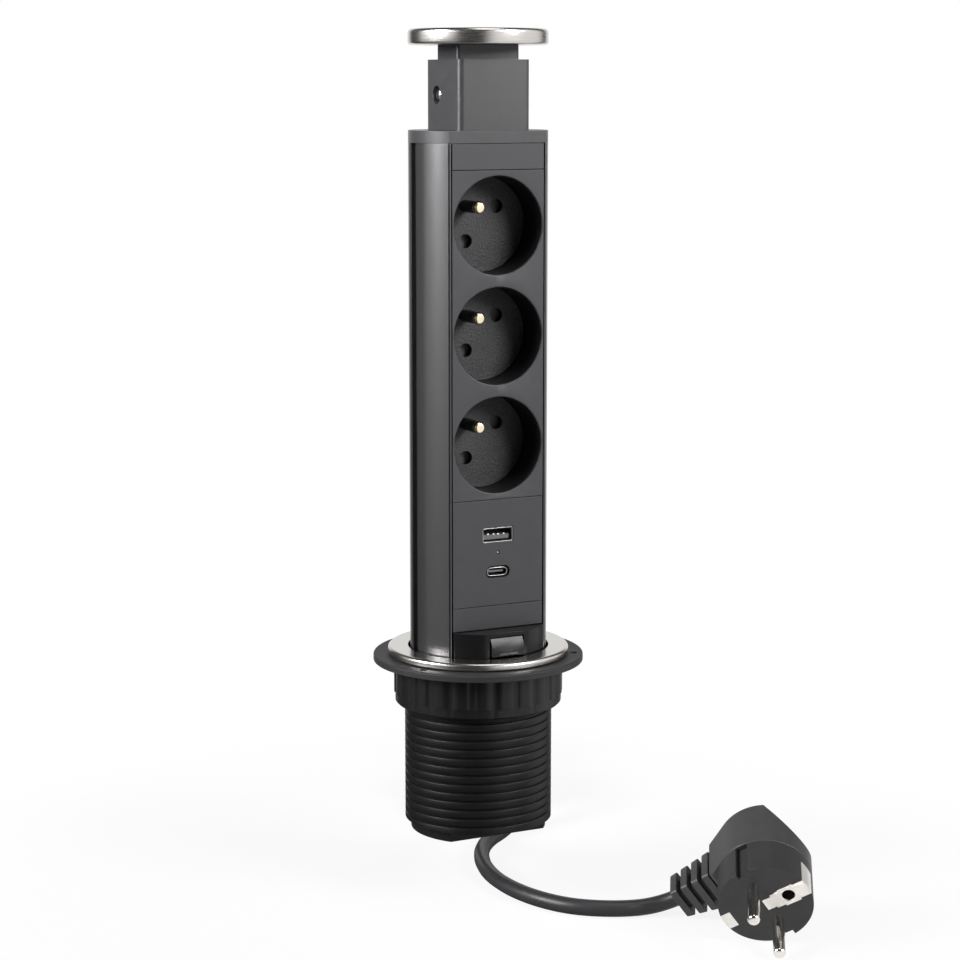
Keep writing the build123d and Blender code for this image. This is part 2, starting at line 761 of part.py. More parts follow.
# Lid neck: the collar that shows, the stem inside the head and the spigot inside the lid
groove_low = guide_screw_rise - guide_screw_radius - slide_gap
groove_high = guide_screw_rise + guide_screw_radius + slide_gap + lid_travel
with BuildPart() as lid_neck:
    with BuildSketch(Plane.XY.offset(head_top - neck_guide)):
        RectangleRounded(neck_width, neck_depth, neck_corner)
    extrude(amount=neck_guide + neck_exposed)
    with BuildSketch(Plane.XY.offset(stem_bottom)):
        RectangleRounded(stem_width, stem_depth, neck_corner)
    extrude(amount=head_top - neck_guide - stem_bottom)
    with BuildSketch(Plane.XY.offset(lid_bottom)):
        Circle(disc_seat_radius)
    extrude(amount=disc_seat)
    with BuildSketch(Plane.XY.offset(stem_bottom)):
        Circle(lid_spring_bore)
    extrude(amount=head_top - neck_guide - stem_bottom, mode=Mode.SUBTRACT)
    with BuildSketch(Plane.YZ.offset(-stem_width / 2)):
        with Locations((guide_screw_offset, (groove_low + groove_high) / 2)):
            Rectangle(2 * (guide_screw_radius + slide_gap), groove_high - groove_low)
    extrude(amount=guide_groove_depth, mode=Mode.SUBTRACT)
finish(lid_neck, "lid_neck")

# Lid disc, pressed on the spigot
with BuildPart() as lid_disc:
    with BuildSketch(Plane.XY.offset(lid_bottom)):
        Circle(disc_radius)
    extrude(amount=disc_thickness)
    fillet(lid_disc.edges().group_by(Axis.Z)[-1], disc_round)
    fillet(lid_disc.edges().group_by(Axis.Z)[0], disc_under_round)
    with BuildSketch(Plane.XY.offset(lid_bottom)):
        Circle(disc_seat_radius)
    extrude(amount=disc_seat, mode=Mode.SUBTRACT)
finish(lid_disc, "lid_disc")

# Lid spring, from the floor of the head to the top of the stem's bore
spring_bottom = cap_top + head_floor + lid_spring_wire
spring_height = head_top - neck_guide - lid_spring_wire - spring_bottom
with BuildPart() as lid_spring:
    with BuildLine() as lid_coil:
        Helix(
            spring_height / lid_spring_turns, spring_height, lid_spring_radius, center=(0, 0, spring_bottom)
        )
    with BuildSketch(Plane(origin=lid_coil.line @ 0, z_dir=lid_coil.line % 0)):
        Circle(lid_spring_wire)
    sweep()
finish(lid_spring, "lid_spring")

# Cable outlet's axis, with its origin at the outlet's end
swing = radians(outlet_swing)
dip = radians(outlet_dip)
outlet_way = Vector(sin(swing) * cos(dip), cos(swing) * cos(dip), -sin(dip))
outlet_axis = Plane(
    origin=(outlet_end * sin(swing), outlet_end * cos(swing), bottom_face - outlet_end_drop),
    z_dir=outlet_way,
)
inner_bend = outlet_axis.origin - outlet_way * (outlet_end / cos(dip))
inner_start = outlet_axis.origin - outlet_way * relief_grip_length
inner_top = Vector(0, 0, profile_bottom + inner_lead_top)
inner_turn = Vector(0, 0, 1).get_angle(-outlet_way)
inner_run = (inner_start - inner_bend).length
inner_radius_of_bend = bend_share * inner_run / tan(radians(inner_turn / 2))

# Bottom cap with the cable outlet
with BuildPart() as bottom_cap:
    with BuildSketch(Plane.XY.offset(bottom_face)):
        round_with_flat(column_radius, face_depth)
    extrude(amount=bottom_thickness)
    with BuildSketch(Plane.XY.offset(profile_bottom)):
        Circle(inner_radius - seam_gap)
        Rectangle(plug_width, plug_length, mode=Mode.INTERSECT)
    extrude(amount=plug_depth)
    with BuildSketch(outlet_axis):
        Circle(outlet_radius)
    extrude(amount=-(outlet_end - outlet_start) / cos(dip))
    with BuildSketch(outlet_axis):
        Circle(relief_grip_radius)
    extrude(amount=-relief_grip_length, mode=Mode.SUBTRACT)
    with BuildLine() as passage:
        FilletPolyline(inner_start, inner_bend, inner_top, radius=inner_radius_of_bend)
    with BuildSketch(Plane(origin=inner_start, z_dir=-outlet_way)):
        Circle(cord_radius + seam_gap)
    sweep(path=passage.line, mode=Mode.SUBTRACT)
finish(bottom_cap, "bottom_cap")

# Strain relief: a grip inside the outlet and a taper outside it
with BuildPart() as cord_relief:
    with BuildSketch(outlet_axis):
        Circle(relief_grip_radius)
    extrude(amount=-relief_grip_length)
    with BuildSketch(outlet_axis):
        Circle(relief_root_radius)
    with BuildSketch(outlet_axis.offset(relief_length)):
        Circle(relief_tip_radius)
    loft()
finish(cord_relief, "cord_relief")

# Cable clamp on the plug of the bottom cap, its screws, and the terminal block above it
clamp_bottom = profile_bottom + plug_depth
clamp_front = cord_radius + seam_gap
with BuildPart() as cable_clamp:
    with BuildSketch(Plane.XY.offset(clamp_bottom)):
        for side in (1, -1):
            with Locations((0, side * (clamp_front + clamp_bar_height / 2))):
                Rectangle(clamp_bar_length, clamp_bar_height)
    extrude(amount=clamp_bar_width)
    with BuildSketch(Plane.XY.offset(clamp_bottom)):
        for side in (1, -1):
            with Locations((side * clamp_screw_place, 0)):
                Rectangle(2 * clamp_screw_radius + 2 * clamp_bar_edge, 2 * clamp_front)
    extrude(amount=clamp_bar_width)
finish(cable_clamp, "cable_clamp")

with BuildPart() as terminal_block:
    with BuildSketch(Plane.XY.offset(inner_top.Z)):
        Rectangle(terminal_width, terminal_depth)
    extrude(amount=terminal_height)
finish(terminal_block, "terminal_block")

# Lead inside the column
with BuildPart() as inner_lead:
    with BuildSketch(Plane(origin=inner_start, z_dir=-outlet_way)):
        Circle(cord_radius)
    sweep(path=passage.line)
finish(inner_lead, "inner_lead")


def laid(right, back, level):
    """A point by its distances to the right and back of the axis, along the way that the lead is laid."""
    turn = radians(lay_turn)
    return Vector(right * cos(turn) + back * sin(turn), -right * sin(turn) + back * cos(turn), level)


def route(points):
    """Bend a route at its points, each by as large an arc as its runs allow, and print what it measures."""
    runs = [(b - a).length for a, b in zip(points, points[1:])]
    radii = []
    for i, (before, after) in enumerate(zip(runs, runs[1:])):
        turn = (points[i + 1] - points[i]).get_angle(points[i + 2] - points[i + 1])
        radii.append(bend_share * min(before, after) / tan(radians(turn / 2)))
    print("runs", [round(r, 1) for r in runs], "radii", [round(r, 1) for r in radii])
    return FilletPolyline(*points, radius=radii)


def cord_tube(points, name):
    """A free stretch of the lead along a bent route."""
    with BuildPart() as tube:
        with BuildLine() as path:
            route(points)
        with BuildSketch(Plane(origin=points[0], z_dir=points[1] - points[0])):
            Circle(cord_radius)
        sweep(path=path.line)
    finish(tube, name)
    length = path.wires()[0].length
    ratio = tube.part.volume / (cord_section * length)
    print(name, "length", round(length, 1), "volume ratio", round(ratio, 4))


# Hank: four loops in three layers, drawn in alike at the waist, that wind in below and out again above
low_layer = -floor_drop + lay_gap + tie_thickness + tie_gap + cord_radius
near_bulb = hank_radius + hank_step / 4
far_bulb = hank_radius - hank_step / 4


def hank_point(along, across, level):
    """A point of the hank by its distances from the middle of the waist."""
    return laid(hank_place[0] - across, hank_place[1] + along, level)


def hank_run(side, column, climb, first_layer):
    """Stations of one run past the waist, the way it is wound: places and directions."""
    bulb = near_bulb if side > 0 else far_bulb
    rise = bulb - hank_waist
    both = (hank_half_run**2 + rise**2) / (2 * rise)
    lean = asin(hank_half_run / both)
    waist_bend = both / 2 + hank_step / 2 - column * hank_step
    level = low_layer + first_layer * hank_layer
    waist_across = hank_waist + column * hank_step
    joint_along = waist_bend * sin(lean)
    joint_across = waist_across + waist_bend * (1 - cos(lean))
    steep = climb * hank_layer / (2 * both * lean)
    stations = []
    for along, across, direction, passed in (
        (-hank_half_run, bulb + column * hank_step, 0, 0),
        (-joint_along, joint_across, -lean, 1 / 4),
        (0, waist_across, 0, 1 / 2),
        (joint_along, joint_across, lean, 3 / 4),
        (hank_half_run, bulb + column * hank_step, 0, 1),
    ):
        height = level + climb * hank_layer * (3 * passed**2 - 2 * passed**3)
        slope = 6 * steep * (passed - passed**2)
        place = hank_point(side * along, side * across, height)
        way = laid(-side * sin(direction), side * cos(direction), slope)
        stations.append((place, way.normalized()))
    return stations


def hank_tip(end, from_across, to_across, level):
    """The station at the tip of a half turn between two runs."""
    radius = (from_across + to_across) / 2
    across = (from_across - to_across) / 2
    place = hank_point(end * (hank_half_run + radius), end * across, level)
    return place, laid(end, 0, 0)


near_out = near_bulb + hank_step
far_out = far_bulb + hank_step
high_layer = low_layer + hank_layer
top_layer = high_layer + hank_layer
stations = [(hank_point(-hank_half_run - cord_end, near_out, low_layer), laid(0, 1, 0))]
stations += hank_run(1, 1, 0, 0)
stations.append(hank_tip(1, near_out, far_out, low_layer))
stations += hank_run(-1, 1, 0, 0)
stations.append(hank_tip(-1, far_out, near_bulb, low_layer))
stations += hank_run(1, 0, 0, 0)
stations.append(hank_tip(1, near_bulb, far_bulb, low_layer))
stations += hank_run(-1, 0, 1, 0)
stations.append(hank_tip(-1, far_bulb, near_bulb, high_layer))
stations += hank_run(1, 0, 0, 1)
stations.append(hank_tip(1, near_bulb, far_out, high_layer))
stations += hank_run(-1, 1, 0, 1)
stations.append(hank_tip(-1, far_out, near_out, high_layer))
stations += hank_run(1, 1, 1, 1)
stations.append(hank_tip(1, near_out, far_out, top_layer))
stations += hank_run(-1, 1, 0, 2)
stations.append((hank_point(-hank_half_run - cord_end, -far_out, top_layer), laid(0, -1, 0)))


def arc_steps(stations):
    """Steps between stations, each an arc, or two arcs that share a tangent, as (start, end, direction)."""
    steps = []
    for (p, t), (q, u) in zip(stations, stations[1:]):
        chord = q - p
        unit = chord.normalized()
        mirrored = unit * (2 * unit.dot(t)) - t
        if (mirrored - u).length < 1e-6:
            steps.append((p, q, t))
            continue
        lean = chord.dot(t + u)
        share = 2 * (1 - t.dot(u))
        if share < 1e-9:
            reach = chord.dot(chord) / (4 * chord.dot(u))
        else:
            reach = (sqrt(lean**2 + share * chord.dot(chord)) - lean) / share
        joint = (p + t * reach + q - u * reach) / 2
        middle = (q - u * reach - p - t * reach).normalized()
        steps.append((p, joint, t))
        steps.append((joint, q, middle))
    return steps


with BuildPart() as hank:
    with BuildLine() as hank_path:
        for p, q, t in arc_steps(stations):
            if (q - p).cross(t).length < 1e-6:
                Line(p, q)
            else:
                TangentArc(p, q, tangent=t)
    with BuildSketch(Plane(origin=stations[0][0], z_dir=stations[0][1])):
        Circle(cord_radius)
    sweep(path=hank_path.line)
finish(hank, "hank")
hank_length = hank_path.wires()[0].length
hank_ratio = hank.part.volume / (cord_section * hank_length)
print("hank length", round(hank_length, 1), "volume ratio", round(hank_ratio, 4))

# The hank's least gap to itself, between points that are more than a few diameters apart along it
hank_line = hank_path.wires()[0]
gap_points = [tuple(hank_line.position_at(i / gap_point_count)) for i in range(gap_point_count + 1)]
apart = round(gap_reach / hank_length * gap_point_count)
least = min(dist(a, b) for i, a in enumerate(gap_points) for b in gap_points[i + apart:])
print("hank least gap to itself", round(least - 2 * cord_radius, 2))

# Tie round the hank's waist
with BuildPart() as hank_tie:
    tie_middle = hank_point(0, 0, high_layer)
    tie_side = 2 * (hank_waist + hank_step + cord_radius + tie_gap)
    tie_rise = 2 * (hank_layer + cord_radius + tie_gap)
    with BuildSketch(Plane(origin=tie_middle, x_dir=laid(1, 0, 0), z_dir=laid(0, 1, 0))):
        RectangleRounded(
            tie_side + 2 * tie_thickness, tie_rise + 2 * tie_thickness, tie_round + tie_thickness
        )
        RectangleRounded(tie_side, tie_rise, tie_round, mode=Mode.SUBTRACT)
    extrude(amount=tie_width / 2, both=True)
finish(hank_tie, "hank_tie")

# Plug's own frame: x along the line of the pins, y to the side of the earth hole, z as the pins point
facing = radians(plug_turn)
nod = radians(plug_dip)
roll = radians(plug_roll)
plug_front = laid(-sin(facing), -cos(facing), 0)
plug_right = laid(cos(facing), -sin(facing), 0)
upward = Vector(0, 0, 1)
plug_up = plug_front * sin(nod) + upward * cos(nod)
plug_frame = Plane(
    origin=laid(plug_place[0], plug_place[1], -floor_drop + plug_rise),
    x_dir=plug_right * cos(roll) - plug_up * sin(roll),
    z_dir=plug_front * cos(nod) - upward * sin(nod),
)
plug_side = Plane(origin=plug_frame.origin, x_dir=plug_frame.y_dir, z_dir=plug_frame.x_dir)
exit_middle = (plug_exit_near + plug_exit_far) / 2
relief_start = Plane(
    origin=plug_frame.from_local_coords((0, -plug_exit, -exit_middle)),
    x_dir=plug_frame.x_dir,
    z_dir=-plug_frame.y_dir,
)

# Face of the plug, with a guide groove at each side and seats for the clips
plug_pin_places = [(-pin_spacing / 2, 0), (pin_spacing / 2, 0)]
with BuildPart() as plug_face:
    with BuildSketch(plug_frame):
        Circle(plug_radius)
    extrude(amount=-plug_face_depth)
    with BuildSketch(plug_frame):
        for side in (1, -1):
            with Locations((side * plug_radius, 0)):
                Rectangle(2 * plug_guide_depth, 2 * plug_guide_half)
    extrude(amount=-plug_face_depth, mode=Mode.SUBTRACT)
    with BuildSketch(plug_frame):
        with Locations(*plug_pin_places):
            Circle(plug_pin_root_radius)
    extrude(amount=-plug_pin_root, mode=Mode.SUBTRACT)
    with BuildSketch(plug_frame):
        with Locations((0, earth_pin_offset)):
            Circle(earth_hole_radius + earth_sleeve_wall)
    extrude(amount=-earth_sleeve_depth, mode=Mode.SUBTRACT)
    with BuildSketch(plug_frame):
        for inner, outer in clip_spans:
            with Locations((0, (inner + outer) / 2)):
                Rectangle(2 * clip_half, abs(outer - inner))
    extrude(amount=-clip_thickness, mode=Mode.SUBTRACT)
    with BuildSketch(plug_frame):
        for side in (1, -1):
            with Locations((0, side * (plug_radius + clip_seat) / 2)):
                Rectangle(2 * clip_half, plug_radius - clip_seat)
    extrude(amount=-clip_side, mode=Mode.SUBTRACT)
finish(plug_face, "plug_face")

# Hood behind the face, deepest on the side away from the cable
tangent_turn = atan2(plug_exit_half, plug_exit) + acos(plug_radius / sqrt(plug_exit**2 + plug_exit_half**2))
with BuildPart() as plug_hood:
    with BuildSketch(plug_side):
        with BuildLine():
            Polyline(
                (-plug_exit, -plug_exit_near),
                (-plug_exit + plug_edge, -plug_face_depth),
                (plug_radius, -plug_face_depth),
                (plug_radius, -plug_hood_low),
                (plug_hood_peak, -plug_hood_depth),
                (-plug_exit, -plug_exit_far),
                close=True,
            )
        make_face()
    extrude(amount=plug_radius, both=True)
    with BuildSketch(plug_frame):
        Circle(plug_radius)
        with BuildLine():
            Polyline(
                (-plug_radius * sin(tangent_turn), -plug_radius * cos(tangent_turn)),
                (-plug_exit_half, -plug_exit),
                (plug_exit_half, -plug_exit),
                (plug_radius * sin(tangent_turn), -plug_radius * cos(tangent_turn)),
                close=True,
            )
        make_face()
    extrude(amount=-plug_hood_depth, mode=Mode.INTERSECT)
finish(plug_hood, "plug_hood")

# Strain relief of the plug
with BuildPart() as plug_relief:
    with BuildSketch(relief_start):
        Rectangle(*plug_relief_root)
    with BuildSketch(relief_start.offset(plug_relief_length)):
        Rectangle(*plug_relief_tip)
    loft()
finish(plug_relief, "plug_relief")

# Pins of the plug
for number, place in enumerate(plug_pin_places, 1):
    with BuildPart() as plug_pin:
        with BuildSketch(plug_frame):
            with Locations(place):
                Circle(plug_pin_radius)
        extrude(amount=plug_pin_length)
        fillet(plug_pin.edges().sort_by(SortBy.DISTANCE)[-1:], plug_pin_dome)
        with BuildSketch(plug_frame):
            with Locations(place):
                Circle(plug_pin_root_radius)
        extrude(amount=-plug_pin_root)
    finish(plug_pin, f"plug_pin_{number}")

# Earth clips, each folded over the rim, and the sleeve behind the earth hole
for number, (side, (inner, outer)) in enumerate(zip((1, -1), clip_spans), 1):
    with BuildPart() as earth_clip:
        with BuildSketch(plug_frame):
            Circle(plug_radius)
            with Locations((0, (inner + outer) / 2)):
                Rectangle(2 * clip_half, abs(outer - inner), mode=Mode.INTERSECT)
            with Locations((0, earth_pin_offset)):
                Circle(earth_hole_radius + earth_sleeve_wall, mode=Mode.SUBTRACT)
        extrude(amount=-clip_thickness)
        with BuildSketch(plug_frame):
            Circle(plug_radius)
            with Locations((0, side * (plug_radius + clip_seat) / 2)):
                Rectangle(2 * clip_half, plug_radius - clip_seat, mode=Mode.INTERSECT)
        extrude(amount=-clip_side)
    finish(earth_clip, f"earth_clip_{number}")

with BuildPart() as earth_sleeve:
    with BuildSketch(plug_frame):
        with Locations((0, earth_pin_offset)):
            Circle(earth_hole_radius + earth_sleeve_wall)
            Circle(earth_hole_radius, mode=Mode.SUBTRACT)
    extrude(amount=-earth_sleeve_depth)
finish(earth_sleeve, "earth_sleeve")

# Free stretches of the lead
relief_tip = outlet_axis.offset(relief_length).origin
tail_end = relief_start.offset(plug_relief_length).origin
tail_way = relief_start.z_dir
tail_landing = tail_end + tail_way * ((cord_level - tail_end.Z) / tail_way.Z)
lead_points = [
    relief_tip,
    relief_tip + outlet_way * ((cord_level - relief_tip.Z) / outlet_way.Z),
    laid(*lead_bend_point, low_layer),
    stations[0][0],
]
tail_points = [stations[-1][0], stations[-1][0] + stations[-1][1] * tail_first_run]
tail_points += [laid(right, back, cord_level) for right, back in tail_floor_points]
tail_points += [tail_landing, tail_end]
cord_tube(lead_points, "lead")
cord_tube(tail_points, "tail")
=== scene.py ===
"""Pop up desk socket: a column with three earthed outlets and two chargers, drawn up out of its collar.

Sizes are in millimetres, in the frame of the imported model: the axis of the column is Z, the front looks
along -Y, and the trim ring rests on the worktop at level 0. They become metres where a mesh is made.
"""

import math

import bmesh
import bpy
import numpy as np
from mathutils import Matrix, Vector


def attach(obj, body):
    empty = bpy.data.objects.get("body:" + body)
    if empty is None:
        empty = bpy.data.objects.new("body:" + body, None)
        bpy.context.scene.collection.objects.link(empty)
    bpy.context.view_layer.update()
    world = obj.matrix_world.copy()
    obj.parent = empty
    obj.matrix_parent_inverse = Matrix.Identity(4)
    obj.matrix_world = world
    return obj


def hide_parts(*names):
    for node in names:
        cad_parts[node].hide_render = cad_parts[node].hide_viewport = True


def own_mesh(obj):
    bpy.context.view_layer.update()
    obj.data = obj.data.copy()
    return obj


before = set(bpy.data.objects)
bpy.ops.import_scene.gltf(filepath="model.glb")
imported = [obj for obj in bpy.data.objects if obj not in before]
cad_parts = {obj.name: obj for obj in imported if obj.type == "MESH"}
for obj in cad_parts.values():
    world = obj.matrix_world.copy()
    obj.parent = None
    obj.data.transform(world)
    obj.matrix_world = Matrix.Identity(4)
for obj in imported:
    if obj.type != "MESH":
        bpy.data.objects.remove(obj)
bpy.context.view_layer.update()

# The studio: a pale floor under the lead, an even white room, and three soft lamps.
# The room is white where it is seen. Gloss mirrors a white panel at each side, and the dark room between them.
MM = 0.001
FLOOR_LEVEL = -100.0
FLOOR_RADIUS = 4000.0
FLOOR_SIDES = 96
VIEW_TURN = math.radians(26.058)
VIEW_DIP = math.radians(9.372)
VIEW_PLACE = (-0.4187, -0.858, 0.2277)
LENS, SENSOR = 90.34, 36.0
WHITE = (1.0, 1.0, 1.0, 1.0)
ROOM_FILL = 0.045  # the even light of the room, beside the lamps
DARK_ROOM = 0.05  # what gloss mirrors between the white panels
LOW_LEFT_PANEL = 0.3  # the left panel, where the floor takes its place
GLOW_NEAR, GLOW_FAR, GLOW_LEAST = 0.14, 0.3, 0.88  # the floor shows its paper near the object


def shader_nodes(owner):
    """A fresh node tree of a material or world, as a function that adds a node with its inputs and settings."""
    owner.use_nodes = True
    tree = owner.node_tree
    tree.nodes.clear()

    def add(kind, inputs=None, **settings):
        node = tree.nodes.new("ShaderNode" + kind)
        for key, value in settings.items():
            setattr(node, key, value)
        for key, value in (inputs or {}).items():
            if isinstance(value, bpy.types.NodeSocket):
                tree.links.new(value, node.inputs[key])
            else:
                node.inputs[key].default_value = value
        return node

    return add


def seen_or_mirrored(add):
    """1 for rays from the camera, off gloss or through glass, and 0 for the rays that light the object."""
    rays = add("LightPath").outputs
    glossy = add("Math", {0: rays["Is Camera Ray"], 1: rays["Is Glossy Ray"]}, operation="MAXIMUM").outputs[0]
    return add("Math", {0: glossy, 1: rays["Is Transmission Ray"]}, operation="MAXIMUM").outputs[0]


def mirrored_room(add, direction, left_white=1.0):
    """White for rays from the camera. Gloss mirrors a white panel at the left, one at the right and the white
    background, with the dark room between them. Each is turned by its way in degrees from the camera, and its
    brightness rises with the cosine of the angle to its middle, from its edge to where it is full."""
    panels = []
    for way, edge, full, white in ((-72, 0.71, 0.93, left_white), (72, 0.4, 0.78, 1.0), (180, 0.75, 0.92, 1.0)):
        turn = VIEW_TURN - math.radians(way)
        middle = (-math.sin(turn), -math.cos(turn), 0.0)
        cosine = add("VectorMath", {0: direction, 1: middle}, operation="DOT_PRODUCT").outputs["Value"]
        rise = {0: cosine, 1: edge, 2: full, 3: DARK_ROOM, 4: white}
        panels.append(add("MapRange", rise, interpolation_type="SMOOTHSTEP").outputs[0])
    sides = add("Math", {0: panels[0], 1: panels[1]}, operation="MAXIMUM")
    mirrored = add("Math", {0: sides.outputs[0], 1: panels[2]}, operation="MAXIMUM")
    glossy = add("LightPath").outputs["Is Glossy Ray"]
    return add("Mix", {0: glossy, 2: 1.0, 3: mirrored.outputs[0]}).outputs[0]


world = bpy.data.worlds.new("studio_room")
bpy.context.scene.world = world
add = shader_nodes(world)
mirrored = mirrored_room(add, add("TexCoord").outputs["Generated"])
lit = add("Mix", {0: seen_or_mirrored(add), 2: ROOM_FILL, 3: mirrored})
room = add("Background", {"Color": WHITE, "Strength": lit.outputs[0]})
add("OutputWorld", {"Surface": room.outputs[0]})

floor_turn = np.linspace(0, 2 * math.pi, FLOOR_SIDES, endpoint=False)
floor_rim = np.stack((np.cos(floor_turn), np.sin(floor_turn), 0 * floor_turn), axis=1) * FLOOR_RADIUS
floor_mesh = bpy.data.meshes.new("studio_floor")
floor_mesh.from_pydata(((floor_rim + (0, 0, FLOOR_LEVEL)) * MM).tolist(), [], [list(range(FLOOR_SIDES))])
floor = bpy.data.objects.new("studio_floor", floor_mesh)
bpy.context.collection.objects.link(floor)
floor_paper = bpy.data.materials.new("floor_paper")
add = shader_nodes(floor_paper)
paper = add("BsdfDiffuse", {"Color": (0.8, 0.8, 0.8, 1.0)})
place = add("TexCoord").outputs["Object"]
direction = add("VectorMath", {0: place}, operation="NORMALIZE").outputs["Vector"]
glow = add("Emission", {"Color": WHITE, "Strength": mirrored_room(add, direction, LOW_LEFT_PANEL)})
distance = add("VectorMath", {0: place}, operation="LENGTH").outputs["Value"]
reach = {0: distance, 1: GLOW_NEAR, 2: GLOW_FAR, 3: GLOW_LEAST, 4: 1.0}
fading = add("MapRange", reach, interpolation_type="SMOOTHSTEP")
share = add("Math", {0: seen_or_mirrored(add), 1: fading.outputs[0]}, operation="MULTIPLY")
blend = add("MixShader", {0: share.outputs[0], 1: paper.outputs[0], 2: glow.outputs[0]})
add("OutputMaterial", {"Surface": blend.outputs[0]})
floor_mesh.materials.append(floor_paper)

for lamp_name, lamp_place, lamp_aim, lamp_size, lamp_spread, lamp_power in (
    ("soft_lamp_right", (560, -900, 660), (0, 0, 190), 0.6, 60, 2.2),
    ("soft_lamp_left", (-1080, 110, 640), (0, 0, 330), 0.7, 60, 5.2),
    ("soft_lamp_above", (60, -260, 1250), (0, 0, 80), 0.6, 180, 2.6),
):
    lamp_data = bpy.data.lights.new(lamp_name, "AREA")
    lamp_data.shape = "DISK"
    lamp_data.size = lamp_size
    lamp_data.spread = math.radians(lamp_spread)
    lamp_data.energy = lamp_power
    lamp = bpy.data.objects.new(lamp_name, lamp_data)
    lamp.location = [value * MM for value in lamp_place]
    aim = Vector(lamp_aim) * MM - lamp.location
    lamp.rotation_euler = aim.to_track_quat("-Z", "Y").to_euler()
    bpy.context.collection.objects.link(lamp)

camera_data = bpy.data.cameras.new("camera")
camera_data.sensor_width = SENSOR
camera_data.lens = LENS
camera = bpy.data.objects.new("camera", camera_data)
camera.location = VIEW_PLACE
camera.rotation_euler = (math.pi / 2 - VIEW_DIP, 0, -VIEW_TURN)
bpy.context.collection.objects.link(camera)
bpy.context.scene.camera = camera
bpy.context.scene.view_settings.view_transform = "Standard"


# Column: an aluminium extrusion, bead blasted and anodised black, with a shallow channel and a slot down each
# side. Its front is open, and the panels hook behind its lips. Every cut edge is broken by a fine round.
ANODISED_TONE = (0.1, 0.0985, 0.101)
SHARP_ANGLE = 32


def grained(
    name, tone, roughness, grain, depth, mottle=0.12, metallic=0.0, spread=0.06, sheen=0.4, painted_shade_from=None
):
    """A satin finish: two close tones, two gloss levels and a bump, all from one noise of that grain in mm. Where
    a piece has a recess or bores, painted shade darkens their walls behind a given place along Y."""
    material = bpy.data.materials.new(name)
    add = shader_nodes(material)
    place = add("TexCoord").outputs["Object"]
    fine = add("TexNoise", {"Vector": place, "Scale": 1 / (grain * MM), "Detail": 3.0, "Roughness": 0.6})
    broad = add("TexNoise", {"Vector": place, "Scale": 1 / (14 * grain * MM), "Detail": 2.0})
    both = add("Mix", {0: 0.3, 2: fine.outputs["Fac"], 3: broad.outputs["Fac"]})
    tones = add("ValToRGB", {"Fac": both.outputs[0]})
    tones.color_ramp.elements[0].position = 0.3
    tones.color_ramp.elements[1].position = 0.7
    tones.color_ramp.elements[0].color = [value * (1 - mottle) for value in tone] + [1]
    tones.color_ramp.elements[1].color = [value * (1 + mottle) for value in tone] + [1]
    colour = tones.outputs["Color"]
    # Painted shade: behind that place the colour falls to 0.12 of its tone, on recess walls and bores.
    if painted_shade_from is not None:
        behind = add("SeparateXYZ", {0: place}).outputs[1]
        shade = add("MapRange", {0: behind, 1: painted_shade_from * MM, 2: (painted_shade_from + 0.5) * MM, 3: 1.0, 4: 0.12})
        colour = add("VectorMath", {0: colour, 1: shade.outputs[0]}, operation="MULTIPLY").outputs[0]
    gloss = add("MapRange", {0: both.outputs[0], 1: 0.3, 2: 0.7, 3: roughness - spread, 4: roughness + spread})
    bump = add("Bump", {"Height": fine.outputs["Fac"], "Strength": 1.0, "Distance": depth * MM})
    body = add(
        "BsdfPrincipled",
        {
            "Base Color": colour,
            "Roughness": gloss.outputs[0],
            "Metallic": metallic,
            "Specular IOR Level": sheen,
            "Normal": bump.outputs[0],
        },
    )
    add("OutputMaterial", {"Surface": body.outputs[0]})
    return material


def fit(piece, material, body, slot, *nodes):
    """Dress a piece: its material, the body that it rides on, and the nodes that it stands for. Its finish is not
    used.
    """
    piece.data.materials.clear()
    piece.data.materials.append(material)
    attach(piece, body)
    if nodes:
        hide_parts(*nodes)
    return piece


def rounded(piece, width, segments=2):
    """Break the sharp edges of a piece by a round of that width in mm, with the flat faces kept flat."""
    bevel = piece.modifiers.new("edge_round", "BEVEL")
    bevel.width = width * MM
    bevel.segments = segments
    bevel.limit_method = "ANGLE"
    bevel.angle_limit = math.radians(SHARP_ANGLE)
    bevel.harden_normals = True
    bevel.use_clamp_overlap = True
    return piece


def eased(node, width, segments=2):
    """A CAD piece's own shape, its triangles merged to whole faces, with its sharp edges broken by a fine
    round."""
    mesh = bpy.data.meshes.new(node + "_eased")
    form = bmesh.new()
    form.from_mesh(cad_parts[node].data)
    bmesh.ops.remove_doubles(form, verts=form.verts, dist=0.001 * MM)
    bmesh.ops.dissolve_limit(form, angle_limit=math.radians(0.4), verts=form.verts, edges=form.edges)
    form.to_mesh(mesh)
    form.free()
    for layer in ("custom_normal", "sharp_edge", "sharp_face"):
        if layer in mesh.attributes:
            mesh.attributes.remove(mesh.attributes[layer])
    mesh.polygons.foreach_set("use_smooth", np.ones(len(mesh.polygons), bool))
    mesh.set_sharp_from_angle(angle=math.radians(SHARP_ANGLE))
    piece = bpy.data.objects.new(node + "_eased", mesh)
    bpy.context.collection.objects.link(piece)
    return rounded(piece, width, segments)


anodised = grained(
    "black_anodised_aluminium", ANODISED_TONE, 0.3, 0.28, 0.006, mottle=0.05, metallic=0.8, spread=0.015, sheen=0.5
)
fit(eased("column_profile", 0.22), anodised, "column", "black_anodised", "column_profile")


# Contact inserts: hard black mouldings with two pin holes, each turned an eighth of a turn in its recess, with a
# sprung shutter behind the holes. A line, a neutral and an earth bar of brass join the three behind them.
INSERT_TONE = (0.026, 0.025, 0.027)
INSERT_FACE = -2.35


def coat(material, *nodes):
    """Give CAD pieces whose own shape stays a material."""
    for node in nodes:
        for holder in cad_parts[node].material_slots:
            holder.material = material
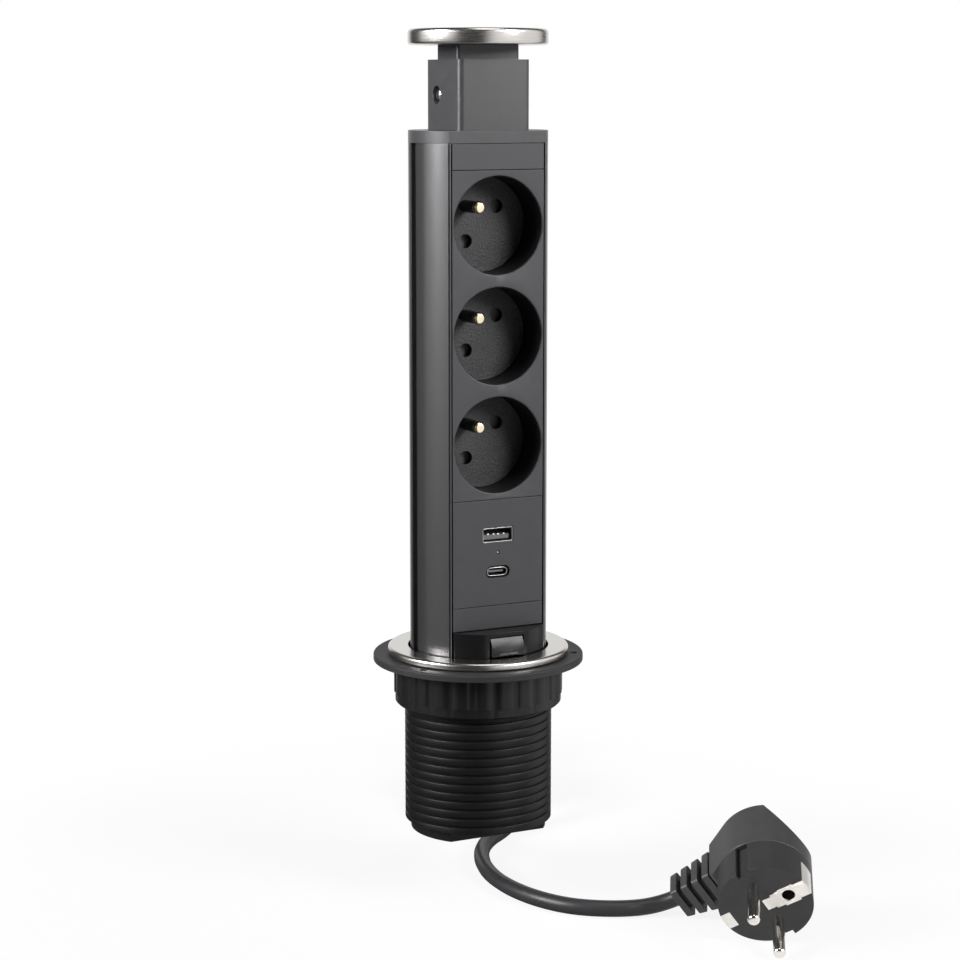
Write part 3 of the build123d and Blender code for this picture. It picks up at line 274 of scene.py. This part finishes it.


# Painted shade: the walls of the pin holes behind the insert's face are darkened in its colour.
insert_plastic = grained("spark_textured_insert_painted_shade", INSERT_TONE, 0.55, 0.8, 0.3, mottle=0.95, painted_shade_from=INSERT_FACE)
shutter_plastic = grained("shutter_plastic", (0.05, 0.05, 0.052), 0.5, 0.3, 0.01)
brass = grained("rolled_brass", (0.72, 0.5, 0.22), 0.3, 0.5, 0.003, metallic=1.0)
for number in (1, 2, 3):
    node = f"outlet_insert_{number}"
    fit(eased(node, 0.15), insert_plastic, "column", "insert_plastic", node)
    node = f"shutter_{number}"
    fit(eased(node, 0.2), shutter_plastic, node, "shutter_plastic", node)
coat(brass, "line_bar", "neutral_bar", "earth_bar")


# Earth pins: turned brass rods pressed through the inserts. A black sleeve over each shaft stands in for its shade
# and dark reflection as painted shade, so that only the domed tip shows bright.
PIN_RADIUS = 2.4
PIN_TIP = -16.5
PIN_BARE = 2.3
PIN_LENGTH = 34.5
PIN_SIDES = 32
OUTLET_LEVELS = (172.825, 129.755, 86.685)
PIN_OFFSET = 10 * math.sin(math.radians(45))


def solid(name, points, faces, crease=SHARP_ANGLE):
    """A piece from points in mm and faces. Points in one place become one, and an edge is sharp where its faces
    turn by more than the crease."""
    mesh = bpy.data.meshes.new(name)
    mesh.from_pydata((np.asarray(points, float).reshape(-1, 3) * MM).tolist(), [], [list(f) for f in faces])
    form = bmesh.new()
    form.from_mesh(mesh)
    bmesh.ops.remove_doubles(form, verts=form.verts, dist=0.002 * MM)
    form.to_mesh(mesh)
    form.free()
    mesh.polygons.foreach_set("use_smooth", np.ones(len(mesh.polygons), bool))
    mesh.set_sharp_from_angle(angle=math.radians(crease))
    piece = bpy.data.objects.new(name, mesh)
    bpy.context.collection.objects.link(piece)
    return piece


def grid_faces(rows, columns, over=False):
    """The quads of a grid of points that closes round its columns, and over its rows where it is a ring."""
    index = np.arange(rows * columns).reshape(rows, columns)
    index = np.hstack((index, index[:, :1]))
    if over:
        index = np.vstack((index, index[:1]))
    corners = (index[:-1, :-1], index[:-1, 1:], index[1:, 1:], index[1:, :-1])
    return np.stack(corners, axis=-1).reshape(-1, 4).tolist()


def turned(profile, columns, over=False, axes=np.eye(3), origin=(0, 0, 0)):
    """Points of a profile (radius, height) turned round the third of three axes, and their faces."""
    radius, height = np.asarray(profile, float).T
    turn = np.linspace(0, 2 * math.pi, columns, endpoint=False)
    x = radius[:, None] * np.cos(turn)
    y = radius[:, None] * np.sin(turn)
    z = height[:, None] + 0 * turn
    points = np.stack((x, y, z), axis=-1).reshape(-1, 3) @ np.asarray(axes, float) + origin
    return points, grid_faces(len(radius), columns, over)


def corner(centre_radius, centre_height, round_radius, start, end, steps=5):
    """Profile points on an arc round a centre, from one angle in degrees to another."""
    turn = np.radians(np.linspace(start, end, steps))
    return np.stack((centre_radius + round_radius * np.cos(turn), centre_height + round_radius * np.sin(turn)), 1)


FRONTWARD = np.array(((1, 0, 0), (0, 0, 1), (0, -1, 0)), float)
# Painted shade: the black of the pins' shafts, drawn as a sleeve over the brass.
painted_shade_sleeve = grained("painted_shade_sleeve", (0.016, 0.016, 0.017), 0.38, 0.3, 0.008)
brass_tip = grained("bright_brass_tip", (0.93, 0.8, 0.58), 0.2, 0.35, 0.003, metallic=1.0)
for number, level in enumerate(OUTLET_LEVELS, 1):
    tip = (-PIN_OFFSET, PIN_TIP, level + PIN_OFFSET)
    profile = np.vstack((
        (0, -PIN_BARE - 1.5),
        (PIN_RADIUS - 0.3, -PIN_BARE - 1.5),
        (PIN_RADIUS - 0.05, -PIN_BARE),
        corner(PIN_RADIUS - 1.25, -1.25, 1.2, 0, 90, 7),
        (0, -0.05),
    ))
    points, faces = turned(profile, PIN_SIDES, axes=FRONTWARD, origin=tip)
    fit(solid(f"earth_pin_tip_{number}", points, faces), brass_tip, "column", "brass")
    profile = (
        (0, -PIN_LENGTH),
        (PIN_RADIUS, -PIN_LENGTH),
        (PIN_RADIUS, -PIN_BARE - 0.2),
        (PIN_RADIUS - 0.2, -PIN_BARE),
        (0, -PIN_BARE),
    )
    points, faces = turned(profile, PIN_SIDES, axes=FRONTWARD, origin=tip)
    sleeve = solid(f"earth_pin_shade_sleeve_{number}", points, faces)
    fit(sleeve, painted_shade_sleeve, "column", "black_plastic", f"earth_pin_{number}")


# Panels: charcoal mouldings with a fine even texture, set one above the other in the open front of the column.
# The outlet panel has the walls of the recesses moulded with it, with a small round at each mouth.
PANEL_TONE = (0.04, 0.039, 0.043)
PANEL_FRONT = -17.7
# Painted shade: the recess walls behind the panel's front are darkened in its colour.
recessed = grained("charcoal_moulding_painted_recess_shade", PANEL_TONE, 0.5, 0.3, 0.014, mottle=0.16, painted_shade_from=PANEL_FRONT)
fit(eased("outlet_panel", 0.12), recessed, "column", "charcoal_plastic", "outlet_panel")
charcoal = grained("charcoal_moulding", PANEL_TONE, 0.5, 0.3, 0.014, mottle=0.16)
for node in ("usb_panel", "lower_blank_panel", "top_blank_panel"):
    fit(eased(node, 0.12), charcoal, "column", "charcoal_plastic", node)


# Chargers: drawn steel shells with a contact tongue in each, soldered on a board in a closed box, and a small
# lamp between them that shows that they are live.
FACE = 18.0
CHARGER_BACK = 6.0
SHELL_WALL = 0.3
TONGUE_SET_BACK = 1.4
CONTACT_LEVEL = 50.8
CONTACT_SPAN = (8.5, FACE - 2.0)
LAMP_LEVEL = 43.65
LAMP_RADIUS = 0.44


def oblong(half_across, half_along, radius, shift=0.0, steps=4):
    """A rectangle with round corners, as points in its plane."""
    x, y = half_across - radius, half_along - radius
    starts = (((x, y + shift), 0), ((-x, y + shift), 90), ((-x, shift - y), 180), ((x, shift - y), 270))
    return np.vstack([corner(*middle, radius, start, start + 90, steps) for middle, start in starts])


def stacked(outlines, heights, over=False, axes=np.eye(3), origin=(0, 0, 0)):
    """Points of closed outlines set one above another at their heights, and their faces, with the two ends
    closed unless the last outline runs over into the first."""
    outlines = np.asarray(outlines, float)
    height = np.asarray(heights, float)[:, None] + 0 * outlines[:, :, 0]
    points = np.dstack((outlines, height)).reshape(-1, 3) @ np.asarray(axes, float) + origin
    rows, columns = height.shape
    faces = grid_faces(rows, columns, over)
    if not over:
        faces += [list(range(columns))[::-1], list(range((rows - 1) * columns, rows * columns))]
    return points, faces


shell_steel = grained("nickel_plated_shell", (0.5, 0.49, 0.48), 0.3, 0.4, 0.003, metallic=1.0)
tongue_plastic = grained("tongue_plastic", (0.13, 0.13, 0.135), 0.4, 0.3, 0.006)
contact_plate = grained("contact_plate", (0.75, 0.7, 0.6), 0.3, 0.4, 0.002, metallic=1.0)
board_green = grained("circuit_board", (0.02, 0.09, 0.04), 0.4, 0.9, 0.01, mottle=0.3)
lamp_lens = grained("lamp_lens", (0.45, 0.46, 0.48), 0.3, 0.3, 0.002)
for kind, level, half_across, half_along, radius, front_edge, blade, blade_shift in (
    ("usb_a", 50.75, 6.6, 2.9, 0.6, FACE - 0.3, (5.6, 0.9), -1.0),
    ("usb_c", 35.85, 4.5, 1.7, 1.69, FACE - 0.75, (3.3, 0.4), 0.0),
):
    place = (0, 0, level)
    outer = oblong(half_across, half_along, radius)
    inner = oblong(half_across - SHELL_WALL, half_along - SHELL_WALL, radius - SHELL_WALL + 0.01)
    heights = (CHARGER_BACK, front_edge, front_edge, CHARGER_BACK)
    points, faces = stacked((outer, outer, inner, inner), heights, True, FRONTWARD, place)
    shell = rounded(solid(kind + "_shell_drawn", points, faces), 0.1)
    fit(shell, shell_steel, "column", "nickel", kind + "_shell")
    block = oblong(blade[0], half_along - 0.5, 0.2)
    tip = oblong(*blade, 0.15, blade_shift)
    block_front = CHARGER_BACK + TONGUE_SET_BACK
    heights = (CHARGER_BACK, block_front, block_front, front_edge - TONGUE_SET_BACK)
    points, faces = stacked((block, block, tip, tip), heights, False, FRONTWARD, place)
    tongue = rounded(solid(kind + "_tongue_moulded", points, faces), 0.08)
    fit(tongue, tongue_plastic, "column", "tongue_plastic", kind + "_tongue")
for number, across in enumerate((-3.5, -1.0, 1.0, 3.5), 1):
    strip = oblong(0.5, 0.2, 0.08)
    points, faces = stacked((strip, strip), CONTACT_SPAN, False, FRONTWARD, (across, 0, CONTACT_LEVEL))
    fit(rounded(solid(f"usb_a_contact_{number}", points, faces), 0.06), contact_plate, "column", "nickel")
profile = np.vstack((
    (0, CHARGER_BACK),
    (LAMP_RADIUS, CHARGER_BACK),
    corner(LAMP_RADIUS - 0.28, FACE - 0.5, 0.28, 0, 90),
    (0, FACE - 0.2),
))
points, faces = turned(profile, 24, axes=FRONTWARD, origin=(0, 0, LAMP_LEVEL))
fit(solid("status_lamp_domed", points, faces), lamp_lens, "column", "led_lens", "status_led")
black_plastic = grained("black_moulding", (0.006, 0.0057, 0.0064), 0.38, 0.35, 0.008, mottle=0.2, sheen=0.28)
coat(board_green, "usb_board")
coat(black_plastic, "usb_box")


# Foot: the lowest front piece, which makes the column round again where it runs in the tube. The latch button
# hangs on a steel pin in its pocket, pushed out by a coil spring, and catches under the ring.
spring_steel = grained("bright_steel", (0.6, 0.59, 0.57), 0.25, 0.5, 0.002, metallic=1.0)
# Painted shade: the foot's colour is made far darker than the panels' charcoal, for the shade at the column's foot.
foot_plastic = grained("foot_moulding_painted_shade", (0.005, 0.0048, 0.0054), 0.32, 0.3, 0.006, mottle=0.15, sheen=0.22)
fit(eased("front_foot", 0.25), foot_plastic, "column", "charcoal_plastic", "front_foot")
button_plastic = grained("button_moulding", (0.009, 0.0088, 0.0096), 0.34, 0.3, 0.008, mottle=0.15, sheen=0.26)
fit(eased("latch_button", 0.35, 3), button_plastic, "latch", "charcoal_plastic", "latch_button")
coat(spring_steel, "latch_pin", "latch_spring")


# Bottom cap: a moulding plugged into the extrusion, with the cable outlet at its back, the clamp that holds the
# lead and the terminal block over it.
fit(eased("bottom_cap", 0.4), black_plastic, "column", "black_plastic", "bottom_cap")
cord_black = grained("lead_sheath", (0.03, 0.029, 0.031), 0.4, 0.5, 0.012, mottle=0.18)
coat(black_plastic, "cable_clamp", "terminal_block")
coat(cord_black, "inner_lead")


# Top cap and head: two satin mouldings screwed together from inside the column. The lid's coil spring stands in
# the head and shortens with the lid, and a domed steel screw in the head's side runs in a groove of the lid's stem.
satin = grained("charcoal_satin_moulding", (0.036, 0.0352, 0.0382), 0.36, 0.3, 0.01, mottle=0.16, sheen=0.5)
fit(eased("top_cap", 0.25), satin, "column", "charcoal_plastic", "top_cap")
fit(eased("head_housing", 0.3), satin, "column", "charcoal_plastic", "head_housing")
coat(spring_steel, "head_screws")
lid_spring = eased("lid_spring", 0.05)
lid_spring.modifiers.clear()
fit(lid_spring, spring_steel, "column", "steel", "lid_spring")
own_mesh(lid_spring)
LEFTWARD = np.array(((0, 0, 1), (0, 1, 0), (-1, 0, 0)), float)
SCREW_MIDDLE = (0, 5.45, 222.91)
SCREW_TIP, SCREW_SEAT, SCREW_RADIUS, SCREW_HEAD = 4.4, 12.85, 1.5, 2.55
profile = np.vstack((
    (0, SCREW_TIP),
    (SCREW_RADIUS - 0.3, SCREW_TIP),
    (SCREW_RADIUS, SCREW_TIP + 0.3),
    (SCREW_RADIUS, SCREW_SEAT),
    (SCREW_HEAD - 0.1, SCREW_SEAT),
    (SCREW_HEAD, SCREW_SEAT + 0.1),
    corner(SCREW_HEAD - 1.2, SCREW_SEAT + 0.8, 1.2, 0, 70, 6),
    (0.9, SCREW_SEAT + 2.13),
    (0, SCREW_SEAT + 2.17),
))
points, faces = turned(profile, 40, axes=LEFTWARD, origin=SCREW_MIDDLE)
polished = grained("polished_steel", (0.7, 0.69, 0.67), 0.16, 0.5, 0.001, metallic=1.0, spread=0.04)
fit(solid("guide_screw_domed", points, faces), polished, "column", "steel", "guide_screw")


# Lid: a black neck that slides in the head on its spring, with a stainless disc pressed on it. The disc is brushed
# in rings, and its edge is rolled over.
fit(eased("lid_neck", 0.3), satin, "push_lid", "charcoal_plastic", "lid_neck")


def brushed(name, tone, roughness):
    """Stainless steel brushed round an axis: a noise read by the radius and hardly by the turn, as fine rings."""
    material = bpy.data.materials.new(name)
    add = shader_nodes(material)
    place = add("SeparateXYZ", {0: add("TexCoord").outputs["Object"]})
    flat = add("CombineXYZ", {0: place.outputs[0], 1: place.outputs[1]})
    radius = add("VectorMath", {0: flat.outputs[0]}, operation="LENGTH").outputs["Value"]
    turn = add("Math", {0: place.outputs[1], 1: place.outputs[0]}, operation="ARCTAN2").outputs[0]
    drawn_out = add("Math", {0: turn, 1: 0.0006}, operation="MULTIPLY").outputs[0]
    rings = add("CombineXYZ", {0: radius, 1: drawn_out, 2: place.outputs[2]})
    lines = add("TexNoise", {"Vector": rings.outputs[0], "Scale": 7000.0, "Detail": 4.0, "Roughness": 0.65})
    tones = add("ValToRGB", {"Fac": lines.outputs["Fac"]})
    tones.color_ramp.elements[0].position = 0.25
    tones.color_ramp.elements[1].position = 0.75
    tones.color_ramp.elements[0].color = [value * 0.86 for value in tone] + [1]
    tones.color_ramp.elements[1].color = list(tone) + [1]
    gloss = add("MapRange", {0: lines.outputs["Fac"], 1: 0.25, 2: 0.75, 3: roughness - 0.07, 4: roughness + 0.07})
    bump = add("Bump", {"Height": lines.outputs["Fac"], "Strength": 1.0, "Distance": 0.004 * MM})
    body = add(
        "BsdfPrincipled",
        {
            "Base Color": tones.outputs["Color"],
            "Roughness": gloss.outputs[0],
            "Metallic": 1.0,
            "Normal": bump.outputs[0],
        },
    )
    add("OutputMaterial", {"Surface": body.outputs[0]})
    return material


stainless = brushed("brushed_stainless", (0.66, 0.635, 0.61), 0.23)
LID_RADIUS, LID_BOTTOM, LID_TOP = 27.5, 242.11, 248.31
profile = np.vstack((
    (0, LID_BOTTOM),
    (LID_RADIUS - 1.3, LID_BOTTOM),
    corner(LID_RADIUS - 1.2, LID_BOTTOM + 1.2, 1.2, -90, 0),
    (LID_RADIUS, LID_TOP - 1.7),
    corner(LID_RADIUS - 1.6, LID_TOP - 1.6, 1.6, 0, 90, 7),
    (LID_RADIUS - 1.8, LID_TOP),
    (0, LID_TOP),
))
points, faces = turned(profile, 160)
fit(solid("lid_disc_turned", points, faces), stainless, "push_lid", "brushed_steel", "lid_disc")


# Threaded tube: a black moulding with a flat crested thread down its whole outside, and a collar that the trim
# ring holds. The thread's groove is thin beside its crest.
CREST_RADIUS, BORE_RADIUS, PITCH, GROOVE = 29.85, 28.4, 3.55, 0.62
TUBE_BOTTOM, COLLAR_RADIUS, COLLAR_TOP = -68.6, 33.8, 1.4


def thread(columns=120):
    """Rows along the helix: the height rises by the pitch over a turn, and the depth over a pitch is a groove
    with sloped sides, which fades out within a pitch of each end."""
    phase = np.array((0.0, 0.04, 0.07, 0.13, 0.21, 0.27, 0.3, 0.34))
    depth = np.array((0.0, 0.1, 0.35, 1.0, 1.0, 0.35, 0.1, 0.0))
    turns = np.arange(-2, int(-TUBE_BOTTOM / PITCH) + 3)
    stations = (turns[:, None] + phase).ravel() * PITCH + TUBE_BOTTOM
    depths = np.tile(depth, len(turns))
    turn = np.linspace(0, 2 * math.pi, columns + 1)
    height = np.clip(stations[:, None] + PITCH * turn / (2 * math.pi), TUBE_BOTTOM, 0)
    fade = np.clip(np.minimum(height - TUBE_BOTTOM, -height) / (0.5 * PITCH), 0, 1)
    radius = CREST_RADIUS - GROOVE * depths[:, None] * fade
    points = np.stack((radius * np.cos(turn), radius * np.sin(turn), height), axis=-1)
    index = np.arange(points.shape[0] * (columns + 1)).reshape(points.shape[0], columns + 1)
    corners = (index[:-1, :-1], index[:-1, 1:], index[1:, 1:], index[1:, :-1])
    return points.reshape(-1, 3), np.stack(corners, axis=-1).reshape(-1, 4)


thread_points, thread_faces = thread()
profile = np.vstack((
    (CREST_RADIUS, 0),
    (COLLAR_RADIUS, 0),
    (COLLAR_RADIUS, COLLAR_TOP),
    (BORE_RADIUS, COLLAR_TOP),
    (BORE_RADIUS, TUBE_BOTTOM + 0.3),
    (BORE_RADIUS + 0.3, TUBE_BOTTOM),
    (CREST_RADIUS, TUBE_BOTTOM),
))
points, faces = turned(profile, 120)
faces = np.vstack((thread_faces, np.asarray(faces) + len(thread_points)))
tube = solid("threaded_tube_moulded", np.vstack((thread_points, points)), faces, crease=50)
tube_black = grained("tube_moulding", (0.0045, 0.0042, 0.0048), 0.42, 0.4, 0.008, mottle=0.25, sheen=0.24)
fit(tube, tube_black, "collar", "black_plastic", "threaded_tube")


# Trim ring: a stainless ring with a rolled outer edge, brushed as the lid is, which rests on the worktop.
RING_RADIUS, RING_HOLE, RING_TOP, SEAT_RADIUS, SEAT_LEVEL, UNDER_EDGE = 36.6, 28.4, 3.0, 33.95, 1.55, 0.45
profile = np.vstack((
    (RING_HOLE, SEAT_LEVEL),
    (SEAT_RADIUS, SEAT_LEVEL),
    (SEAT_RADIUS, 0),
    (RING_RADIUS - UNDER_EDGE, 0),
    (RING_RADIUS, UNDER_EDGE),
    (RING_RADIUS, RING_TOP - 1.4),
    corner(RING_RADIUS - 1.3, RING_TOP - 1.3, 1.3, 0, 90, 8),
    (RING_RADIUS - 1.5, RING_TOP),
    (RING_HOLE + 0.5, RING_TOP),
    corner(RING_HOLE + 0.3, RING_TOP - 0.3, 0.3, 90, 180, 4),
))
points, faces = turned(profile, 180, over=True)
fit(solid("trim_ring_rolled", points, faces), stainless, "collar", "brushed_steel", "trim_ring")


# Clamp flange and nut: the flange has three screw holes, and the nut below it is fluted for the hand. Both are
# run up the thread against the ring.
flange_black = grained("flange_moulding", (0.02, 0.0195, 0.021), 0.55, 0.4, 0.01, mottle=0.2, sheen=0.3)
fit(eased("clamp_flange", 0.3), flange_black, "clamp_flange", "black_plastic", "clamp_flange")
fit(eased("clamp_nut", 0.25), black_plastic, "clamp_nut", "black_plastic", "clamp_nut")


# Mains lead: a round black sheathed lead that leaves the cable outlet at the back, is folded into a hank of
# four loops in three layers behind the column, and comes round to the plug at the right.
CORD_DIAMETER = 6.6
LAY_TURN = math.radians(26)
LOW_LEVEL, TOP_LEVEL, CORD_LEVEL = -95.7, -81.3, -96.6
HANK_MIDDLE = (2.0, 164.8)
HALF_RUN, WAIST, STEP, NEAR_BULB, FAR_BULB = 35.5, 3.9, 7.2, 21.6, 18.0


def laid(points):
    """Points given by their distances to the right and the back of the column along the way that the lead lies,
    and their levels, turned into the model's frame."""
    right, back, level = np.moveaxis(np.asarray(points, float), -1, 0)
    x = right * math.cos(LAY_TURN) + back * math.sin(LAY_TURN)
    y = -right * math.sin(LAY_TURN) + back * math.cos(LAY_TURN)
    return np.stack((x, y, level), axis=-1)


def hank_points():
    """Eight runs drawn in at the waist, and the half turns between them: a run's points by their distances along
    it, and a half turn's points on a circle through the two runs that it joins."""
    side = np.array((1, -1, 1, -1, 1, -1, 1, -1))
    column = np.array((1, 1, 0, 0, 0, 1, 1, 1))
    layer = np.array((0, 0, 0, 0, 1, 1, 1, 2))
    climb = np.array((0, 0, 0, 1, 0, 0, 1, 0))
    bulb = np.where(side > 0, NEAR_BULB, FAR_BULB) + column * STEP
    along = np.array((-28.0, -10.0, 10.0, 28.0))
    passed = (along + HALF_RUN) / (2 * HALF_RUN)
    risen = layer[:, None] + climb[:, None] * (3 * passed**2 - 2 * passed**3)
    across = np.stack((bulb, WAIST + column * STEP, WAIST + column * STEP, bulb), axis=1)
    runs = np.stack((side[:, None] * across, side[:, None] * along, risen), axis=-1)
    turn = np.radians(np.arange(15, 180, 30))
    following = np.roll(bulb, -1)
    half = (bulb + following) / 2 / math.cos(math.radians(15))
    middle = (bulb - following) / 2
    tip_across = side[:, None] * (middle[:, None] + half[:, None] * np.cos(turn))
    tip_along = side[:, None] * (HALF_RUN + half[:, None] * np.sin(turn))
    tip_risen = (layer + climb)[:, None] + 0 * turn
    tips = np.stack((tip_across, tip_along, tip_risen), axis=-1)
    across, along, risen = np.concatenate((runs, tips), axis=1).reshape(-1, 3)[: -len(turn)].T
    level = LOW_LEVEL + risen * STEP
    return np.stack((HANK_MIDDLE[0] - across, HANK_MIDDLE[1] + along, level), axis=1)


lead_points = (
    (-4.25, 40.45, -85.67),
    (-7.39, 70.31, CORD_LEVEL),
    (-26.8, 98.0, LOW_LEVEL),
    (-26.8, 122.7, LOW_LEVEL),
)
tail_points = (
    (27.2, 122.7, TOP_LEVEL),
    (27.2, 98.0, TOP_LEVEL),
    (15.5, 72.5, CORD_LEVEL),
    (1.0, 45.0, CORD_LEVEL),
    (2.0, 12.5, CORD_LEVEL),
    (13.5, -14.5, CORD_LEVEL),
    (33.0, -33.5, CORD_LEVEL),
    (54.0, -38.0, CORD_LEVEL),
    (71.7, -33.8, CORD_LEVEL),
    (79.9, -36.5, -91.75),
)
cord_points = laid(np.vstack((lead_points, hank_points(), tail_points))) * MM
cord_line = bpy.data.curves.new("mains_lead", "CURVE")
cord_line.dimensions = "3D"
cord_line.bevel_depth = CORD_DIAMETER / 2 * MM
cord_line.bevel_resolution = 5
cord_line.use_fill_caps = True
cord_line.resolution_u = 10
spline = cord_line.splines.new("NURBS")
spline.points.add(len(cord_points) - 1)
spline.points.foreach_set("co", np.hstack((cord_points, np.ones((len(cord_points), 1)))).ravel())
spline.order_u = 3
spline.use_endpoint_u = True
mains_lead = bpy.data.objects.new("mains_lead", cord_line)
bpy.context.collection.objects.link(mains_lead)
fit(mains_lead, cord_black, "column", "cord_sheath", "lead", "hank", "tail")
tie_film = grained("tie_film", (0.02, 0.02, 0.022), 0.3, 0.6, 0.01)
tie = fit(eased("hank_tie", 0.15), tie_film, "column", "tie_film", "hank_tie")


# Plug: an angled plug moulded on the lead, its face in a darker plastic, with four ridges on its strain relief.
# Its two pins are plated brass rods, and an earth strip is pressed from plated sheet round the earth hole.
plug_black = grained("plug_moulding", (0.045, 0.044, 0.046), 0.45, 0.45, 0.012, mottle=0.25)
plug_dark = grained("plug_face_moulding", (0.026, 0.0255, 0.027), 0.5, 0.45, 0.012, mottle=0.25)
fit(eased("plug_face", 0.5), plug_dark, "column", "plug_moulding", "plug_face")
fit(eased("plug_hood", 0.5), plug_black, "column", "plug_moulding", "plug_hood")
PLUG_TURN, PLUG_DIP, PLUG_ROLL = math.radians(5), math.radians(22), math.radians(58)
plug_middle = laid((110.0, -72.0, -82.7))
plug_front = laid((-math.sin(PLUG_TURN), -math.cos(PLUG_TURN), 0))
plug_right = laid((math.cos(PLUG_TURN), -math.sin(PLUG_TURN), 0))
plug_up = plug_front * math.sin(PLUG_DIP) + (0, 0, math.cos(PLUG_DIP))
pin_way = plug_front * math.cos(PLUG_DIP) - (0, 0, math.sin(PLUG_DIP))
pin_row = plug_right * math.cos(PLUG_ROLL) - plug_up * math.sin(PLUG_ROLL)
earth_way = np.cross(pin_way, pin_row)
relief_start = plug_middle - 19 * earth_way - 27 * pin_way
RIDGE_STEP, RIDGE_START, RIDGE_END, RIDGE_DEPTH = 5.2, 1.2, 4.4, 2.6


def relief_outline(height, groove):
    """The relief's section at a height: it tapers evenly, and a groove draws it in."""
    return oblong(9.5 - 0.125 * height - groove, 7.5 - 0.0875 * height - 0.8 * groove, 1.2)


outlines, heights = [], []
for ridge in range(4):
    before = max(RIDGE_STEP * (ridge - 1) + RIDGE_END, 0.0)
    start, end = RIDGE_STEP * ridge + RIDGE_START, RIDGE_STEP * ridge + RIDGE_END
    outlines += [relief_outline(before, RIDGE_DEPTH), relief_outline(start, RIDGE_DEPTH)]
    outlines += [relief_outline(start, 0), relief_outline(end, 0)]
    heights += [before, start, start, end]
points, faces = stacked(outlines, heights, False, (pin_row, pin_way, -earth_way), relief_start)
plug_relief = rounded(solid("plug_relief_ridged", points, faces), 0.3)
fit(plug_relief, plug_black, "column", "plug_moulding", "plug_relief")
fit(eased("cord_relief", 0.4), plug_black, "column", "plug_moulding", "cord_relief")
plated = grained("nickel_plate", (0.8, 0.77, 0.72), 0.14, 0.5, 0.002, metallic=1.0, spread=0.04)
pressed = grained("pressed_nickel_strip", (0.85, 0.82, 0.78), 0.4, 0.6, 0.01, metallic=0.8)
coat(plated, "plug_pin_1", "plug_pin_2", "earth_sleeve")
coat(pressed, "earth_clip_1", "earth_clip_2")
STRIP_LOW, STRIP_HIGH, HOLE_RADIUS, HOLE_PLACE = 0.02, 0.4, 2.75, 10
right_edge = np.array(
    ((2.6, -0.2), (2.6, 3.5), (3.4, 3.5), (3.4, 7.0), (4.1, 7.0), (4.1, 13.5), (2.8, 13.5), (2.8, 17.6))
)
stepped = np.vstack((right_edge, right_edge[::-1] * (-1, 1)))
stepped = np.vstack((stepped, stepped[:1]))
share = np.arange(0, len(stepped) - 1, 0.25)
edge = np.stack([np.interp(share, np.arange(len(stepped)), side) for side in stepped.T], axis=1)
turn = np.arctan2(edge[:, 1] - HOLE_PLACE, edge[:, 0])
hole = HOLE_RADIUS * np.stack((np.cos(turn), np.sin(turn)), axis=1) + (0, HOLE_PLACE)
heights = (STRIP_LOW, STRIP_HIGH, STRIP_HIGH, STRIP_LOW)
points, faces = stacked((edge, edge, hole, hole), heights, True, (pin_row, earth_way, pin_way), plug_middle)
earth_plate = rounded(solid("earth_plate", points, faces), 0.1)
fit(earth_plate, pressed, "column", "nickel")

bpy.context.view_layer.update()
